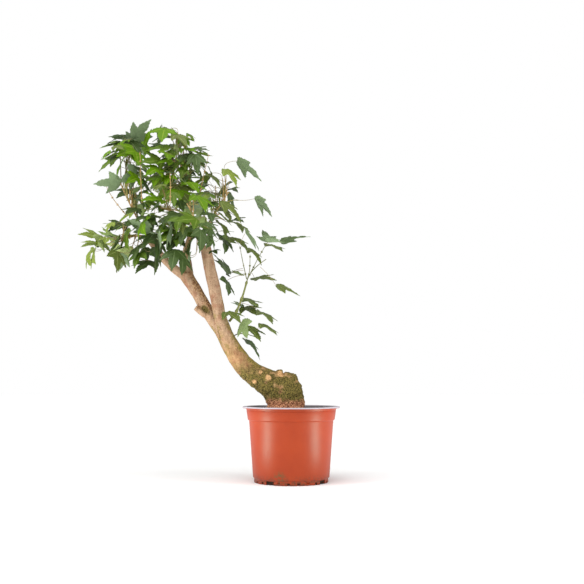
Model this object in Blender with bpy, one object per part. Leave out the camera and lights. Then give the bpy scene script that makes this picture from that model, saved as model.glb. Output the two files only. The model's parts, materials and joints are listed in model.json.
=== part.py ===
"""A trident maple with a leaning trunk, grown on as a bonsai starter in a plastic nursery pot.

Lengths are in metres, +Z is up, and the origin is the middle of the pot's flat underside.
The tree leans to -X, and its front faces -Y. Every solid keeps a small gap to its neighbours.
"""

import math
import random

import bmesh
import bpy
from mathutils import Vector
from mathutils.bvhtree import BVHTree

UP = Vector((0, 0, 1))
DOWN = Vector((0, 0, -1))
FRONT = Vector((0, -1, 0))
GAP = 0.0003  # between neighbouring solids

# Pot
POT_HEIGHT = 0.145
RIM_RADIUS = 0.095
LIP_THICKNESS = 0.003
COLLAR_TOP_RADIUS = 0.0885
COLLAR_FOOT_RADIUS = 0.0848
COLLAR_FOOT = 0.118  # height at which the collar steps in to the wall
GROOVE_HEIGHT = 0.1378
GROOVE_DEPTH = 0.0006
GROOVE_HALF = 0.0009  # half of its width
RIM_BEVEL = 0.0010
FOOT_BEVEL = 0.0006
WALL_TOP_RADIUS = 0.0822
WALL_FOOT_RADIUS = 0.0742
WALL_FOOT = 0.010
FOOT_RADIUS = 0.0718
STEP_HEIGHT = 0.002
WALL_THICKNESS = 0.0013
FLOOR_THICKNESS = 0.002
INNER_STEP = COLLAR_FOOT + STEP_HEIGHT + WALL_THICKNESS
INNER_FOOT = WALL_FOOT - STEP_HEIGHT + WALL_THICKNESS
# The outer faces as straight lines between two (radius, height) points
WALL_LINE = (WALL_FOOT_RADIUS, WALL_FOOT), (WALL_TOP_RADIUS, COLLAR_FOOT)
COLLAR_LINE = (COLLAR_FOOT_RADIUS, COLLAR_FOOT + STEP_HEIGHT), (COLLAR_TOP_RADIUS, POT_HEIGHT)
POT_SIDES = 40
NOTCH_TURN = math.radians(-34)  # from the front, at the first wide notch
WIDE_NOTCHES = 4
NARROW_BETWEEN = 5  # narrow notches from one wide notch to the next
WIDE_NOTCH = (0.014, 0.0065)  # width and height
NARROW_NOTCH = (0.0028, 0.0038)
NOTCH_DEPTH = 0.009  # inward from the foot's outer face, and half of it for a narrow one
CUTTER_MARGIN = 0.001  # by which a notch's cutter passes the foot

# Soil
SOIL_TOP = 0.133
SOIL_CLEARANCE = 0.0005  # level, as the gap is narrower across the pot's slopes

# Wood. A station is x, y, z, half width across the picture and half depth along Y.
LIMB_SIDES = 16
LIMB_STEP = 0.018  # between the rings of a limb
LIMB_GAP = 0.0004  # between a limb and the one that it starts beside
STUMP_SIDES = 18
STUMP_STEP = 0.012
STUMP = [
    (-0.0100, 0.000, SOIL_TOP + GAP, 0.0390, 0.0380),
    (-0.0100, 0.000, 0.1450, 0.0355, 0.0350),
    (-0.0085, 0.000, 0.1650, 0.0335, 0.0320),
    (-0.0050, 0.000, 0.1900, 0.0250, 0.0240),
    (-0.0010, 0.000, 0.2095, 0.0110, 0.0125),
]
TRUNK = [
    (-0.0100, 0.000, 0.1420, 0.0300, 0.0300),
    (-0.0260, 0.000, 0.1770, 0.0300, 0.0300),
    (-0.0530, 0.001, 0.1960, 0.0245, 0.0260),
    (-0.0760, 0.002, 0.2095, 0.0215, 0.0230),
    (-0.1000, 0.002, 0.2320, 0.0190, 0.0205),
    (-0.1200, 0.001, 0.2620, 0.0170, 0.0195),
    (-0.1340, 0.000, 0.2880, 0.0172, 0.0210),
    (-0.1440, 0.000, 0.3100, 0.0190, 0.0235),
]
CUT_STUBS = {  # short stubs on the trunk: foot, end and the radius of each
    "top stub": ((-0.0250, -0.006, 0.2000), (-0.0270, -0.008, 0.2155), 0.0075, 0.0062),
    "front scar": ((-0.0440, -0.010, 0.1930), (-0.0442, -0.0275, 0.2010), 0.0075, 0.0065),
    "low scar": ((-0.0700, -0.010, 0.1930), (-0.0712, -0.0225, 0.1925), 0.0040, 0.0034),
    "bark knot": ((-0.1360, -0.006, 0.2900), (-0.1385, -0.0225, 0.2935), 0.0050, 0.0030),
}
STUB_SIDES = 9
LIMBS = {
    "upright_bough": [
        (-0.1352, -0.0100, 0.3080, 0.0122, 0.0120),
        (-0.1420, -0.0100, 0.3300, 0.0119, 0.0117),
        (-0.1515, -0.0090, 0.3760, 0.0123, 0.0120),
        (-0.1600, -0.0080, 0.4120, 0.0119, 0.0116),
        (-0.1700, -0.0070, 0.4600, 0.0103, 0.0103),
    ],
    "left_bough": [
        (-0.1500, 0.0100, 0.3010, 0.0122, 0.0122),
        (-0.1650, 0.0110, 0.3300, 0.0123, 0.0120),
        (-0.1880, 0.0120, 0.3700, 0.0123, 0.0118),
        (-0.2110, 0.0125, 0.4055, 0.0135, 0.0120),
    ],
    "left_limb": [
        (-0.2040, 0.0115, 0.3960, 0.0100, 0.0100),
        (-0.2330, 0.0080, 0.4170, 0.0085, 0.0085),
        (-0.2560, 0.0020, 0.4390, 0.0075, 0.0075),
        (-0.2820, -0.0060, 0.4730, 0.0058, 0.0058),
    ],
    "inner_limb": [
        (-0.2030, 0.0135, 0.3960, 0.0090, 0.0090),
        (-0.2075, 0.0150, 0.4340, 0.0070, 0.0070),
        (-0.2110, 0.0160, 0.4560, 0.0062, 0.0062),
        (-0.2020, 0.0140, 0.4870, 0.0050, 0.0050),
    ],
    "side_shoot": [
        (-0.1225, -0.0020, 0.3110, 0.0026, 0.0026),
        (-0.1090, -0.0040, 0.3290, 0.0022, 0.0022),
        (-0.0965, -0.0030, 0.3600, 0.0019, 0.0019),
        (-0.0880, 0.0000, 0.3910, 0.0017, 0.0017),
    ],
}
# Where one limb ends and the next begin: a point of the flat joint and its upward direction
FORK = Vector((-0.143, 0.0, 0.308)), Vector((-0.42, 0.0, 0.91)).normalized()
UPPER_FORK = Vector((-0.208, 0.0125, 0.401)), Vector((-0.52, 0.0, 0.85)).normalized()
BROKEN_STUB = ((-0.1720, 0.008, 0.3330), (-0.1905, 0.004, 0.3395), 0.0062, 0.0030)

# Foliage. Each mass grows from one limb's tip, or from the trunk's side, into its own space:
# the middle and the reach of that space, the leaf middles that its leading shoots aim at, and
# how many more shoots fill it. A light mass has shorter leaves, and fewer pairs of them.
MASSES = {
    "low_left_foliage": {
        "limb": "left_limb",
        "middle": (-0.342, -0.010, 0.468),
        "reach": (0.100, 0.105, 0.085),
        "leaders": [
            (-0.396, -0.020, 0.470),
            (-0.400, 0.015, 0.437),
            (-0.340, -0.055, 0.432),
            (-0.362, 0.050, 0.484),
            (-0.290, -0.030, 0.432),
            (-0.325, -0.045, 0.492),
        ],
        "fillers": 1,
    },
    "upper_left_foliage": {
        "limb": "left_limb",
        "middle": (-0.345, 0.000, 0.595),
        "reach": (0.100, 0.110, 0.135),
        "leaders": [
            (-0.390, -0.012, 0.612),
            (-0.364, 0.035, 0.582),
            (-0.353, -0.030, 0.660),
            (-0.326, -0.010, 0.692),
            (-0.325, -0.060, 0.575),
            (-0.318, -0.050, 0.640),
        ],
        "fillers": 2,
    },
    "top_foliage": {
        "limb": "inner_limb",
        "middle": (-0.237, 0.000, 0.638),
        "reach": (0.112, 0.115, 0.100),
        "leaders": [
            (-0.258, -0.025, 0.690),
            (-0.278, 0.020, 0.664),
            (-0.218, 0.025, 0.668),
            (-0.184, -0.015, 0.645),
            (-0.265, -0.050, 0.635),
            (-0.212, -0.055, 0.625),
        ],
        "fillers": 2,
    },
    "middle_foliage": {
        "limb": "inner_limb",
        "middle": (-0.255, -0.045, 0.530),
        "reach": (0.100, 0.085, 0.110),
        "leaders": [
            (-0.292, -0.070, 0.540),
            (-0.262, -0.080, 0.480),
            (-0.215, -0.050, 0.495),
        ],
        "fillers": 3,
    },
    "upper_right_foliage": {
        "limb": "upright_bough",
        "middle": (-0.125, -0.005, 0.570),
        "reach": (0.110, 0.095, 0.110),
        "leaders": [
            (-0.084, -0.015, 0.612),
            (-0.128, 0.030, 0.598),
            (-0.055, -0.005, 0.540),
            (-0.114, -0.040, 0.532),
            (-0.150, -0.050, 0.580),
        ],
        "fillers": 1,
    },
    "right_foliage": {
        "limb": "side_shoot",
        "middle": (-0.050, 0.000, 0.435),
        "reach": (0.110, 0.085, 0.110),
        "leaders": [
            (-0.074, -0.025, 0.474),
            (-0.038, 0.025, 0.474),
            (0.014, -0.005, 0.478),
            (-0.094, 0.015, 0.455),
            (-0.006, 0.000, 0.380),
            (-0.060, 0.020, 0.400),
        ],
        "fillers": 0,
        "light": True,
    },
    "side_shoot_foliage": {
        "limb": "trunk",
        "middle": (-0.070, -0.005, 0.280),
        "reach": (0.085, 0.080, 0.085),
        "leaders": [
            (-0.084, -0.040, 0.318),
            (-0.050, 0.030, 0.318),
            (-0.042, -0.015, 0.294),
            (-0.080, -0.030, 0.285),
            (-0.073, 0.015, 0.262),
        ],
        "fillers": 0,
        "light": True,
    },
    "back_left_foliage": {
        "limb": "inner_limb",
        "middle": (-0.285, 0.100, 0.560),
        "reach": (0.110, 0.085, 0.120),
        "leaders": [],
        "fillers": 8,
    },
    "back_right_foliage": {
        "limb": "upright_bough",
        "middle": (-0.150, 0.095, 0.545),
        "reach": (0.110, 0.085, 0.110),
        "leaders": [],
        "fillers": 8,
    },
    "front_foliage": {
        "limb": "upright_bough",
        "middle": (-0.195, -0.110, 0.525),
        "reach": (0.105, 0.080, 0.110),
        "leaders": [(-0.226, -0.088, 0.442)],
        "fillers": 7,
    },
}
SPACE_MARGIN = 0.0010  # from a space's edge to the plane halfway to the next
LIMB_CLEARANCE = 0.004  # from leaves and shoots to limbs and other stems
GOLDEN_TURN = math.pi * (3 - math.sqrt(5))
FILLER_STRAY = 0.4  # radians that a filling shoot strays from the even spiral
FILLER_SHARES = (0.50, 0.66)  # of the reach at which filling shoots end

# Stems and shoots
SIDE_TWIG_ROOT = 0.86  # share of the trunk's length at which the low side twig leaves it
STEM_RADIUS = 0.0024
STEM_SIDES = 5
STEM_PARTS = 6
SHARED_TIP = 0.36  # most of a limb's tip radius that one stem takes
TIP_SPREAD = 0.92  # how far out on a shared tip its stems stand
SET_OFF = 0.004  # the stem's straight start
STEM_PULL = 0.35  # share of its length for which a stem keeps its first way
TESTED_PARTS = 4  # of each straight stretch, when a stem or shoot is tested for touching
BARE_STEM = 8  # tested points of a stem, from its root, where no shoot starts
TWIG_RADIUS = 0.0019
TWIG_TIP_RADIUS = 0.0014
TWIG_SIDES = 3
SHOOT_PARTS = 4
SHOOT_LIFT = 0.30  # how far a shoot bows up, as a share of its length
MOST_INWARD = 0.8  # how far short of its target a shoot ends, as a share of the way there

# Leaves
LEAF_LENGTH = 0.056
LIGHT_LEAF = 0.85  # length of a light mass's leaves as a share of the rest
LEAF_LENGTHS = (0.85, 1.12)
HALF_LEAF = 0.30  # share of its length from a hanging leaf's middle to its foot, along or up
LEAF_THICKNESS = 0.0012
PETIOLE_LENGTH = 0.028
PETIOLE_LENGTHS = (0.60, 1.15)
PETIOLE_RADIUS = 0.0006
PETIOLE_DEPTH = 1.5  # radii from its flat top to its lower edge
FREE_FROM = 3  # twig radii from its root at which a petiole has to touch nothing
SUNK_ROOT = 0.003  # how far back inside a twig's tip its end leaf starts
MOST_PAIRS = 2  # of leaves on a shoot, under its end leaf
PAIR_SPACING = 0.026
FIRST_PAIR = 0.94  # share of the shoot's length at its highest pair
PAIR_RISE = 0.5  # how far the petioles of a pair lean along their shoot
PAIR_STRAY = 0.5  # how far a petiole turns from its place, each way
LEAST_ONWARD = -0.4  # cosine between a petiole and its blade, which never folds right back
MOST_ASIDE = 0.75  # cosine between a petiole and the line across its blade
TRIES = 14
AIMED_TRIES = 10  # tries of an end leaf near the place that its shoot aims at
WANDER = 0.020  # how far the last of these may lie from it
# A blade's outline as shares of its length: along the midrib and to the side
LEAF_HALF_OUTLINE = [(0.60, 0.46), (0.52, 0.17)]
LEAF_CROWN = 0.36  # share of the length at which the blade is thickest
LEAF_FOLD = 0.10  # how far the lobes hang below the blade's middle
# How a blade hangs, as weights: onward from its petiole, down, and astray
HANG_ONWARD = 0.6
HANG_DOWN = (0.1, 0.9)
HANG_STRAY = 0.45
# Where its upper side faces, beside straight up: outward, to the front, and astray
FACE_OUTWARD = 0.6
FACE_FRONT = 0.25
FACE_STRAY = 0.35

ON_PLANE = 1e-7  # a corner this near to a cutting plane lies on it
# Edges sharper than this stay sharp: on turned pieces, and on bark
ROUND_DEGREES = 30
BARK_DEGREES = 40

# Materials: base colour and roughness
FINISHES = {
    "terracotta plastic": ((0.560, 0.080, 0.030), 0.45),
    "potting soil": ((0.040, 0.028, 0.020), 0.95),
    "bark": ((0.440, 0.300, 0.190), 0.80),
    "maple leaf": ((0.060, 0.160, 0.035), 0.50),
}


def clear_scene():
    for thing in list(bpy.data.objects):
        bpy.data.objects.remove(thing, do_unlink=True)


def material(name):
    """The named finish as a Principled material, made once."""
    found = bpy.data.materials.get(name)
    if found:
        return found
    colour, roughness = FINISHES[name]
    made = bpy.data.materials.new(name)
    made.use_nodes = True
    shader = made.node_tree.nodes["Principled BSDF"]
    shader.inputs["Base Color"].default_value = (*colour, 1)
    shader.inputs["Roughness"].default_value = roughness
    shader.inputs["Metallic"].default_value = 0.0
    return made


def new_object(name, vertices, faces, finish=None):
    mesh = bpy.data.meshes.new(name)
    mesh.from_pydata([tuple(v) for v in vertices], [], faces)
    mesh.update()
    made = bpy.data.objects.new(name, mesh)
    bpy.context.scene.collection.objects.link(made)
    if finish:
        mesh.materials.append(material(finish))
    return made


def evaluated_mesh(thing):
    bpy.context.view_layer.update()
    graph = bpy.context.evaluated_depsgraph_get()
    return bpy.data.meshes.new_from_object(thing.evaluated_get(graph))


def combine(thing, solids, operation):
    """Joins solids to an object or cuts them from it, by one Boolean on a collection of them."""
    operands = bpy.data.collections.new(thing.name + " operands")
    bpy.context.scene.collection.children.link(operands)
    for number, solid in enumerate(solids):
        operand = new_object(f"{thing.name} operand {number}", *solid)
        bpy.context.scene.collection.objects.unlink(operand)
        operands.objects.link(operand)
    boolean = thing.modifiers.new("Combine", "BOOLEAN")
    boolean.operation = operation
    boolean.operand_type = "COLLECTION"
    boolean.collection = operands
    boolean.solver = "EXACT"
    mesh = evaluated_mesh(thing)
    thing.modifiers.clear()
    thing.data = mesh
    for operand in list(operands.objects):
        bpy.data.objects.remove(operand, do_unlink=True)
    bpy.data.collections.remove(operands)
    keep_largest_body(mesh)


def joined(name, solids, finish):
    """One object made of the first solid and the rest."""
    made = new_object(name, *solids[0], finish)
    if len(solids) > 1:
        combine(made, solids[1:], "UNION")
    return made


def keep_largest_body(mesh):
    """Drops loose scraps, so that the largest body of the mesh is left."""
    shape = bmesh.new()
    shape.from_mesh(mesh)
    shape.verts.ensure_lookup_table()
    bodies = []
    seen = set()
    for start in shape.verts:
        if start in seen:
            continue
        body = {start}
        edge_of_body = [start]
        while edge_of_body:
            vertex = edge_of_body.pop()
            for edge in vertex.link_edges:
                other = edge.other_vert(vertex)
                if other not in body:
                    body.add(other)
                    edge_of_body.append(other)
        seen |= body
        bodies.append(body)
    bodies.sort(key=len)
    scraps = [vertex for body in bodies[:-1] for vertex in body]
    bmesh.ops.delete(shape, geom=scraps, context="VERTS")
    shape.to_mesh(mesh)
    shape.free()


def shade(thing, sharp_degrees=BARK_DEGREES):
    thing.data.shade_smooth()
    thing.data.set_sharp_from_angle(angle=math.radians(sharp_degrees))


def turned(profile, sides):
    """A closed turned solid from (radius, height) points: up its outer side, from axis to axis."""
    vertices = [Vector((0, 0, profile[0][1])), Vector((0, 0, profile[-1][1]))]
    rings = []
    for radius, height in profile[1:-1]:
        ring = []
        for side in range(sides):
            turn = 2 * math.pi * side / sides
            ring.append(len(vertices))
            vertices.append(Vector((radius * math.cos(turn), radius * math.sin(turn), height)))
        rings.append(ring)
    faces = []
    for side in range(sides):
        after = (side + 1) % sides
        faces.append((0, rings[0][after], rings[0][side]))
        faces.append((1, rings[-1][side], rings[-1][after]))
        for upper, lower in zip(rings, rings[1:]):
            faces.append((upper[side], upper[after], lower[after], lower[side]))
    return vertices, faces


def box(middle, turn, size):
    """A box about its middle, turned about Z: size is along the radius, across it and up."""
    out = Vector((math.sin(turn), -math.cos(turn), 0))
    across = Vector((math.cos(turn), math.sin(turn), 0))
    vertices = []
    for along in (-0.5, 0.5):
        for side in (-0.5, 0.5):
            for up in (-0.5, 0.5):
                vertices.append(
                    middle + out * along * size[0] + across * side * size[1] + UP * up * size[2]
                )
    faces = [(0, 1, 3, 2), (4, 6, 7, 5), (0, 4, 5, 1), (2, 3, 7, 6), (0, 2, 6, 4), (1, 5, 7, 3)]
    return vertices, outward(vertices, faces)


def outward(vertices, faces):
    """The faces, all flipped where they point into a solid that is star-shaped from its middle."""
    middle = sum(vertices, Vector()) / len(vertices)
    result = []
    for face in faces:
        a, b, c = (vertices[corner] for corner in face[:3])
        normal = (b - a).cross(c - a)
        result.append(face if normal.dot(a - middle) > 0 else tuple(reversed(face)))
    return result


def smooth_stations(stations, step):
    """Stations about a step apart on a smooth curve through the given ones."""
    result = []
    last = len(stations) - 1
    for number in range(last):
        before = stations[max(number - 1, 0)]
        start = stations[number]
        end = stations[number + 1]
        after = stations[min(number + 2, last)]
        parts = max(1, round((Vector(end[:3]) - Vector(start[:3])).length / step))
        for part in range(parts):
            t = part / parts
            result.append(
                tuple(
                    0.5
                    * (
                        2 * b
                        + (c - a) * t
                        + (2 * a - 5 * b + 4 * c - d) * t * t
                        + (3 * b - a - 3 * c + d) * t * t * t
                    )
                    for a, b, c, d in zip(before, start, end, after)
                )
            )
    result.append(tuple(stations[-1]))
    return result


def directions(points):
    """The unit direction of a path at each of its points."""
    result = []
    for number in range(len(points)):
        before = points[max(number - 1, 0)]
        after = points[min(number + 1, len(points) - 1)]
        result.append((after - before).normalized())
    return result


def limb(stations, sides, step=LIMB_STEP, grow=0.0):
    """A closed tapering limb through its stations, fattened by grow."""
    smooth = smooth_stations(stations, step)
    points = [Vector(station[:3]) for station in smooth]
    along = directions(points)
    vertices = []
    for point, way, station in zip(points, along, smooth):
        across = Vector((way.z, 0, -way.x)).normalized()
        depth = way.cross(across).normalized()
        for side in range(sides):
            turn = 2 * math.pi * side / sides
            width = math.cos(turn) * (station[3] + grow)
            back = math.sin(turn) * (station[4] + grow)
            vertices.append(point + across * width + depth * back)
    return vertices, ring_faces(len(points), sides)


def ring_faces(rings, sides):
    """Faces of a closed tube whose rings turn from their first axis to their second."""
    faces = [tuple(reversed(range(sides)))]
    for ring in range(rings - 1):
        for side in range(sides):
            after = (side + 1) % sides
            low = ring * sides
            high = low + sides
            faces.append((low + side, low + after, high + after, high + side))
    last = (rings - 1) * sides
    faces.append(tuple(last + side for side in range(sides)))
    return faces


def rod(points, start_radius, end_radius, sides):
    """A closed round rod along a path, tapering from its start to its end."""
    along = directions(points)
    aside = along[0].orthogonal().normalized()
    vertices = []
    for number, (point, way) in enumerate(zip(points, along)):
        aside = (aside - way * aside.dot(way)).normalized()
        other = way.cross(aside)
        share = number / (len(points) - 1)
        radius = start_radius + (end_radius - start_radius) * share
        for side in range(sides):
            turn = 2 * math.pi * side / sides
            vertices.append(point + (aside * math.cos(turn) + other * math.sin(turn)) * radius)
    return vertices, ring_faces(len(points), sides)


def cut_flat(thing, point, normal):
    """Cuts a closed solid at a plane, and closes it there. What lies past the normal goes."""
    shape = bmesh.new()
    shape.from_mesh(thing.data)
    everything = shape.verts[:] + shape.edges[:] + shape.faces[:]
    bmesh.ops.bisect_plane(
        shape, geom=everything, dist=ON_PLANE, plane_co=point, plane_no=normal, clear_outer=True
    )
    rim = [edge for edge in shape.edges if edge.is_boundary]
    bmesh.ops.holes_fill(shape, edges=rim)
    shape.to_mesh(thing.data)
    shape.free()


def between(height, low, high):
    """A radius at a height, on the straight line between two (radius, height) points."""
    share = (height - low[1]) / (high[1] - low[1])
    return low[0] + (high[0] - low[0]) * share


def make_pot():
    """The pot: a turned shell with a lip, a collar, a tapering wall and a notched foot."""
    under_lip = POT_HEIGHT - LIP_THICKNESS
    profile = [
        (0, 0),
        (FOOT_RADIUS - FOOT_BEVEL, 0),
        (FOOT_RADIUS, FOOT_BEVEL),
        (FOOT_RADIUS, WALL_FOOT - STEP_HEIGHT),
        WALL_LINE[0],
        WALL_LINE[1],
        COLLAR_LINE[0],
    ]
    for above, depth in ((-GROOVE_HALF, 0), (0, GROOVE_DEPTH), (GROOVE_HALF, 0)):
        height = GROOVE_HEIGHT + above
        profile.append((between(height, *COLLAR_LINE) - depth, height))
    profile += [
        (between(under_lip, *COLLAR_LINE), under_lip),
        (RIM_RADIUS - RIM_BEVEL, under_lip),
        (RIM_RADIUS, under_lip + RIM_BEVEL),
        (RIM_RADIUS, POT_HEIGHT - RIM_BEVEL),
        (RIM_RADIUS - RIM_BEVEL, POT_HEIGHT),
        (COLLAR_TOP_RADIUS - WALL_THICKNESS, POT_HEIGHT),
        (COLLAR_FOOT_RADIUS - WALL_THICKNESS, INNER_STEP),
        (WALL_TOP_RADIUS - WALL_THICKNESS, INNER_STEP - STEP_HEIGHT),
        (WALL_FOOT_RADIUS - WALL_THICKNESS, WALL_FOOT + WALL_THICKNESS),
        (FOOT_RADIUS - WALL_THICKNESS, INNER_FOOT),
        (FOOT_RADIUS - WALL_THICKNESS, FLOOR_THICKNESS),
        (0, FLOOR_THICKNESS),
    ]
    notches = []
    places = WIDE_NOTCHES * (NARROW_BETWEEN + 1)
    for place in range(places):
        turn = NOTCH_TURN + 2 * math.pi * place / places
        wide = place % (NARROW_BETWEEN + 1) == 0
        width, height = WIDE_NOTCH if wide else NARROW_NOTCH
        depth = (NOTCH_DEPTH if wide else NOTCH_DEPTH / 2) + CUTTER_MARGIN
        out = Vector((math.sin(turn), -math.cos(turn), 0))
        middle = out * (FOOT_RADIUS + CUTTER_MARGIN - depth / 2)
        notches.append(box(middle, turn, (depth, width, 2 * height)))
    pot = new_object("pot", *turned(profile, POT_SIDES), "terracotta plastic")
    combine(pot, notches, "DIFFERENCE")
    shade(pot, ROUND_DEGREES)


def make_soil():
    """The soil that fills the pot, with a flat top."""
    clear = WALL_THICKNESS + SOIL_CLEARANCE
    profile = [
        (0, FLOOR_THICKNESS + GAP),
        (FOOT_RADIUS - clear, FLOOR_THICKNESS + GAP),
        (FOOT_RADIUS - clear, INNER_FOOT + GAP),
        (WALL_FOOT_RADIUS - clear, WALL_FOOT + WALL_THICKNESS + GAP),
        (WALL_TOP_RADIUS - clear, INNER_STEP - STEP_HEIGHT + GAP),
        (COLLAR_FOOT_RADIUS - clear, INNER_STEP + GAP),
        (between(SOIL_TOP, *COLLAR_LINE) - clear, SOIL_TOP),
        (0, SOIL_TOP),
    ]
    soil = new_object("soil", *turned(profile, POT_SIDES), "potting soil")
    shade(soil, ROUND_DEGREES)


def make_trunk():
    """The trunk: a chunky stump with its old flat cut, and the leaning trunk up to the fork."""
    solids = [limb(STUMP, STUMP_SIDES, STUMP_STEP), limb(TRUNK, LIMB_SIDES)]
    for foot, end, foot_radius, end_radius in CUT_STUBS.values():
        solids.append(rod([Vector(foot), Vector(end)], foot_radius, end_radius, STUB_SIDES))
    trunk = joined("trunk", solids, "bark")
    cut_flat(trunk, Vector((0, 0, SOIL_TOP + GAP)), DOWN)
    cut_flat(trunk, *FORK)
    shade(trunk)


def make_limb(name, stub=None, beside=None, foot=None, top=None):
    """A limb, cut flat at the joints of its foot and top, and clear of the limb beside it."""
    solids = [limb(LIMBS[name], LIMB_SIDES)]
    if stub:
        start, end, start_radius, end_radius = stub
        solids.append(rod([Vector(start), Vector(end)], start_radius, end_radius, STUB_SIDES))
    made = joined(name, solids, "bark")
    if beside:
        combine(made, [limb(LIMBS[beside], LIMB_SIDES, grow=LIMB_GAP)], "DIFFERENCE")
    if foot:
        point, normal = foot
        cut_flat(made, point + normal * GAP, -normal)
    if top:
        cut_flat(made, *top)
    shade(made)


def make_limbs():
    make_limb("upright_bough", foot=FORK)
    make_limb("left_bough", BROKEN_STUB, beside="upright_bough", foot=FORK, top=UPPER_FORK)
    make_limb("left_limb", foot=UPPER_FORK)
    make_limb("inner_limb", beside="left_limb", foot=UPPER_FORK)
    make_limb("side_shoot")


def bend(start, pull, end, parts):
    """Points on a curve that leaves its start towards pull and comes to its end."""
    points = []
    for part in range(parts + 1):
        t = part / parts
        points.append(start * (1 - t) ** 2 + pull * 2 * t * (1 - t) + end * t * t)
    return points


def limb_stretches():
    """Every limb as straight stretches: start, end and radius."""
    result = []
    for stations in [STUMP, TRUNK, *LIMBS.values()]:
        for low, high in zip(stations, stations[1:]):
            result.append((Vector(low[:3]), Vector(high[:3]), max(*low[3:], *high[3:])))
    return result


def distance_to(point, start, end):
    run = end - start
    share = max(0.0, min(1.0, (point - start).dot(run) / run.length_squared))
    return (point - start - run * share).length


def in_space(point, name):
    """Whether a point is in a mass's space: nearer to it than to any other, and in its reach."""
    mass = MASSES[name]
    middle = Vector(mass["middle"])
    reach = Vector(mass["reach"])
    offset = point - middle
    if sum((offset[axis] / reach[axis]) ** 2 for axis in range(3)) > 1.0:
        return False
    own = offset.length_squared - (sum(reach) / 3) ** 2
    for other, rival in MASSES.items():
        if other == name:
            continue
        apart = Vector(rival["middle"]) - middle
        theirs = (point - Vector(rival["middle"])).length_squared - (sum(rival["reach"]) / 3) ** 2
        if own + 2 * SPACE_MARGIN * apart.length > theirs:
            return False
    return True


def stem_radius(name):
    """A mass's stem, thin enough to share its limb's tip with the others that grow there."""
    mass = MASSES[name]
    if mass["limb"] == "trunk":
        return STEM_RADIUS
    return min(STEM_RADIUS, LIMBS[mass["limb"]][-1][3] * SHARED_TIP)


def stem_root(name):
    """Where a mass's stem starts and the way it sets off: on a limb's tip or the trunk's side."""
    mass = MASSES[name]
    if mass["limb"] == "trunk":
        smooth = smooth_stations(TRUNK, LIMB_STEP)
        station = smooth[round(SIDE_TWIG_ROOT * (len(smooth) - 1))]
        after = smooth[round(SIDE_TWIG_ROOT * (len(smooth) - 1)) + 1]
        way = (Vector(after[:3]) - Vector(station[:3])).normalized()
        out = Vector((way.z, 0, -way.x)).normalized()
        return Vector(station[:3]) + out * (station[3] + GAP), out
    tip = Vector(LIMBS[mass["limb"]][-1][:3])
    before = Vector(smooth_stations(LIMBS[mass["limb"]], LIMB_STEP)[-2][:3])
    way = (tip - before).normalized()
    aside = way.orthogonal().normalized()
    other = way.cross(aside)

    def turn_of(sharer):
        towards = Vector(MASSES[sharer]["middle"]) - tip
        return math.atan2(towards.dot(other), towards.dot(aside))

    sharers = [sharer for sharer in MASSES if MASSES[sharer]["limb"] == mass["limb"]]
    sharers.sort(key=turn_of)
    share = 2 * math.pi / len(sharers)
    strays = [turn_of(sharer) - share * place for place, sharer in enumerate(sharers)]
    first = math.atan2(sum(map(math.sin, strays)), sum(map(math.cos, strays)))
    turn = first + share * sharers.index(name)
    offset = Vector()
    if len(sharers) > 1:
        room = (LIMBS[mass["limb"]][-1][3] - stem_radius(name)) * TIP_SPREAD
        offset = (aside * math.cos(turn) + other * math.sin(turn)) * room
    return tip + offset + way * GAP, way


def stem_path(name):
    """The points of a mass's stem: straight off its limb at first, then curved to its middle."""
    root, way = stem_root(name)
    middle = Vector(MASSES[name]["middle"])
    start = root + way * SET_OFF
    pull = start + way * (middle - start).length * STEM_PULL
    return [root] + bend(start, pull, middle, STEM_PARTS)


def limbs_to_avoid(name):
    """The limbs and the other masses' stems, as stretches."""
    result = limb_stretches()
    for other in MASSES:
        if other != name:
            path = stem_path(other)
            result += [(low, high, stem_radius(other)) for low, high in zip(path, path[1:])]
    return result


def close_points(path):
    """A path's points with more between them, close enough to test whether it touches a limb."""
    result = [path[0]]
    for low, high in zip(path, path[1:]):
        result += [low.lerp(high, (part + 1) / TESTED_PARTS) for part in range(TESTED_PARTS)]
    return result


def clear_of(points, stretches, clearance):
    return all(
        distance_to(point, start, end) > radius + clearance
        for point in points
        for start, end, radius in stretches
    )


def leaf_solid(stalk, heading, face, length):
    """A three-lobed leaf on its petiole, as one closed solid: a three-sided stalk that opens
    into a thin blade, thickest in its middle, with its lobes hanging a little."""
    root, foot = stalk
    across = heading.cross(face).normalized()
    face = across.cross(heading).normalized()
    way = (foot - root).normalized()
    vertices = []
    for end, side in ((root, across - way * across.dot(way)), (foot, across)):
        onward = way if end == root else (way + heading).normalized()
        side = side.normalized() * PETIOLE_RADIUS
        under = onward.cross(side).normalized() * PETIOLE_RADIUS * PETIOLE_DEPTH
        vertices += [end + side, end - side, end + under]
    faces = [(0, 1, 2), (1, 0, 3, 4), (2, 1, 4, 5), (0, 2, 5, 3)]
    outline = LEAF_HALF_OUTLINE + [(1.0, 0.0)]
    outline += [(along, -side) for along, side in reversed(LEAF_HALF_OUTLINE)]
    for along, aside in outline:
        drop = LEAF_FOLD * (abs(aside) + max(along - LEAF_CROWN, 0.0))
        vertices.append(foot + (heading * along + across * aside - face * drop) * length)
    crown = foot + heading * LEAF_CROWN * length
    top = len(vertices)
    bottom = top + 1
    vertices.append(crown + face * LEAF_THICKNESS / 2)
    vertices.append(crown - face * LEAF_THICKNESS / 2)
    rim = [3] + list(range(6, top)) + [4]
    for corner, after in zip(rim, rim[1:]):
        faces.append((corner, after, top))
        faces.append((after, corner, bottom))
    faces += [(4, 3, top), (3, 5, bottom), (5, 4, bottom)]
    return vertices, faces


def spots_on(solid):
    """Points that stand for a leaf when its space is tested: corners and the middles of edges."""
    vertices, faces = solid
    spots = list(vertices[3:])
    for face in faces[1:]:
        for corner, after in zip(face, face[1:] + face[:1]):
            spots.append((vertices[corner] + vertices[after]) / 2)
    return spots


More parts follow.
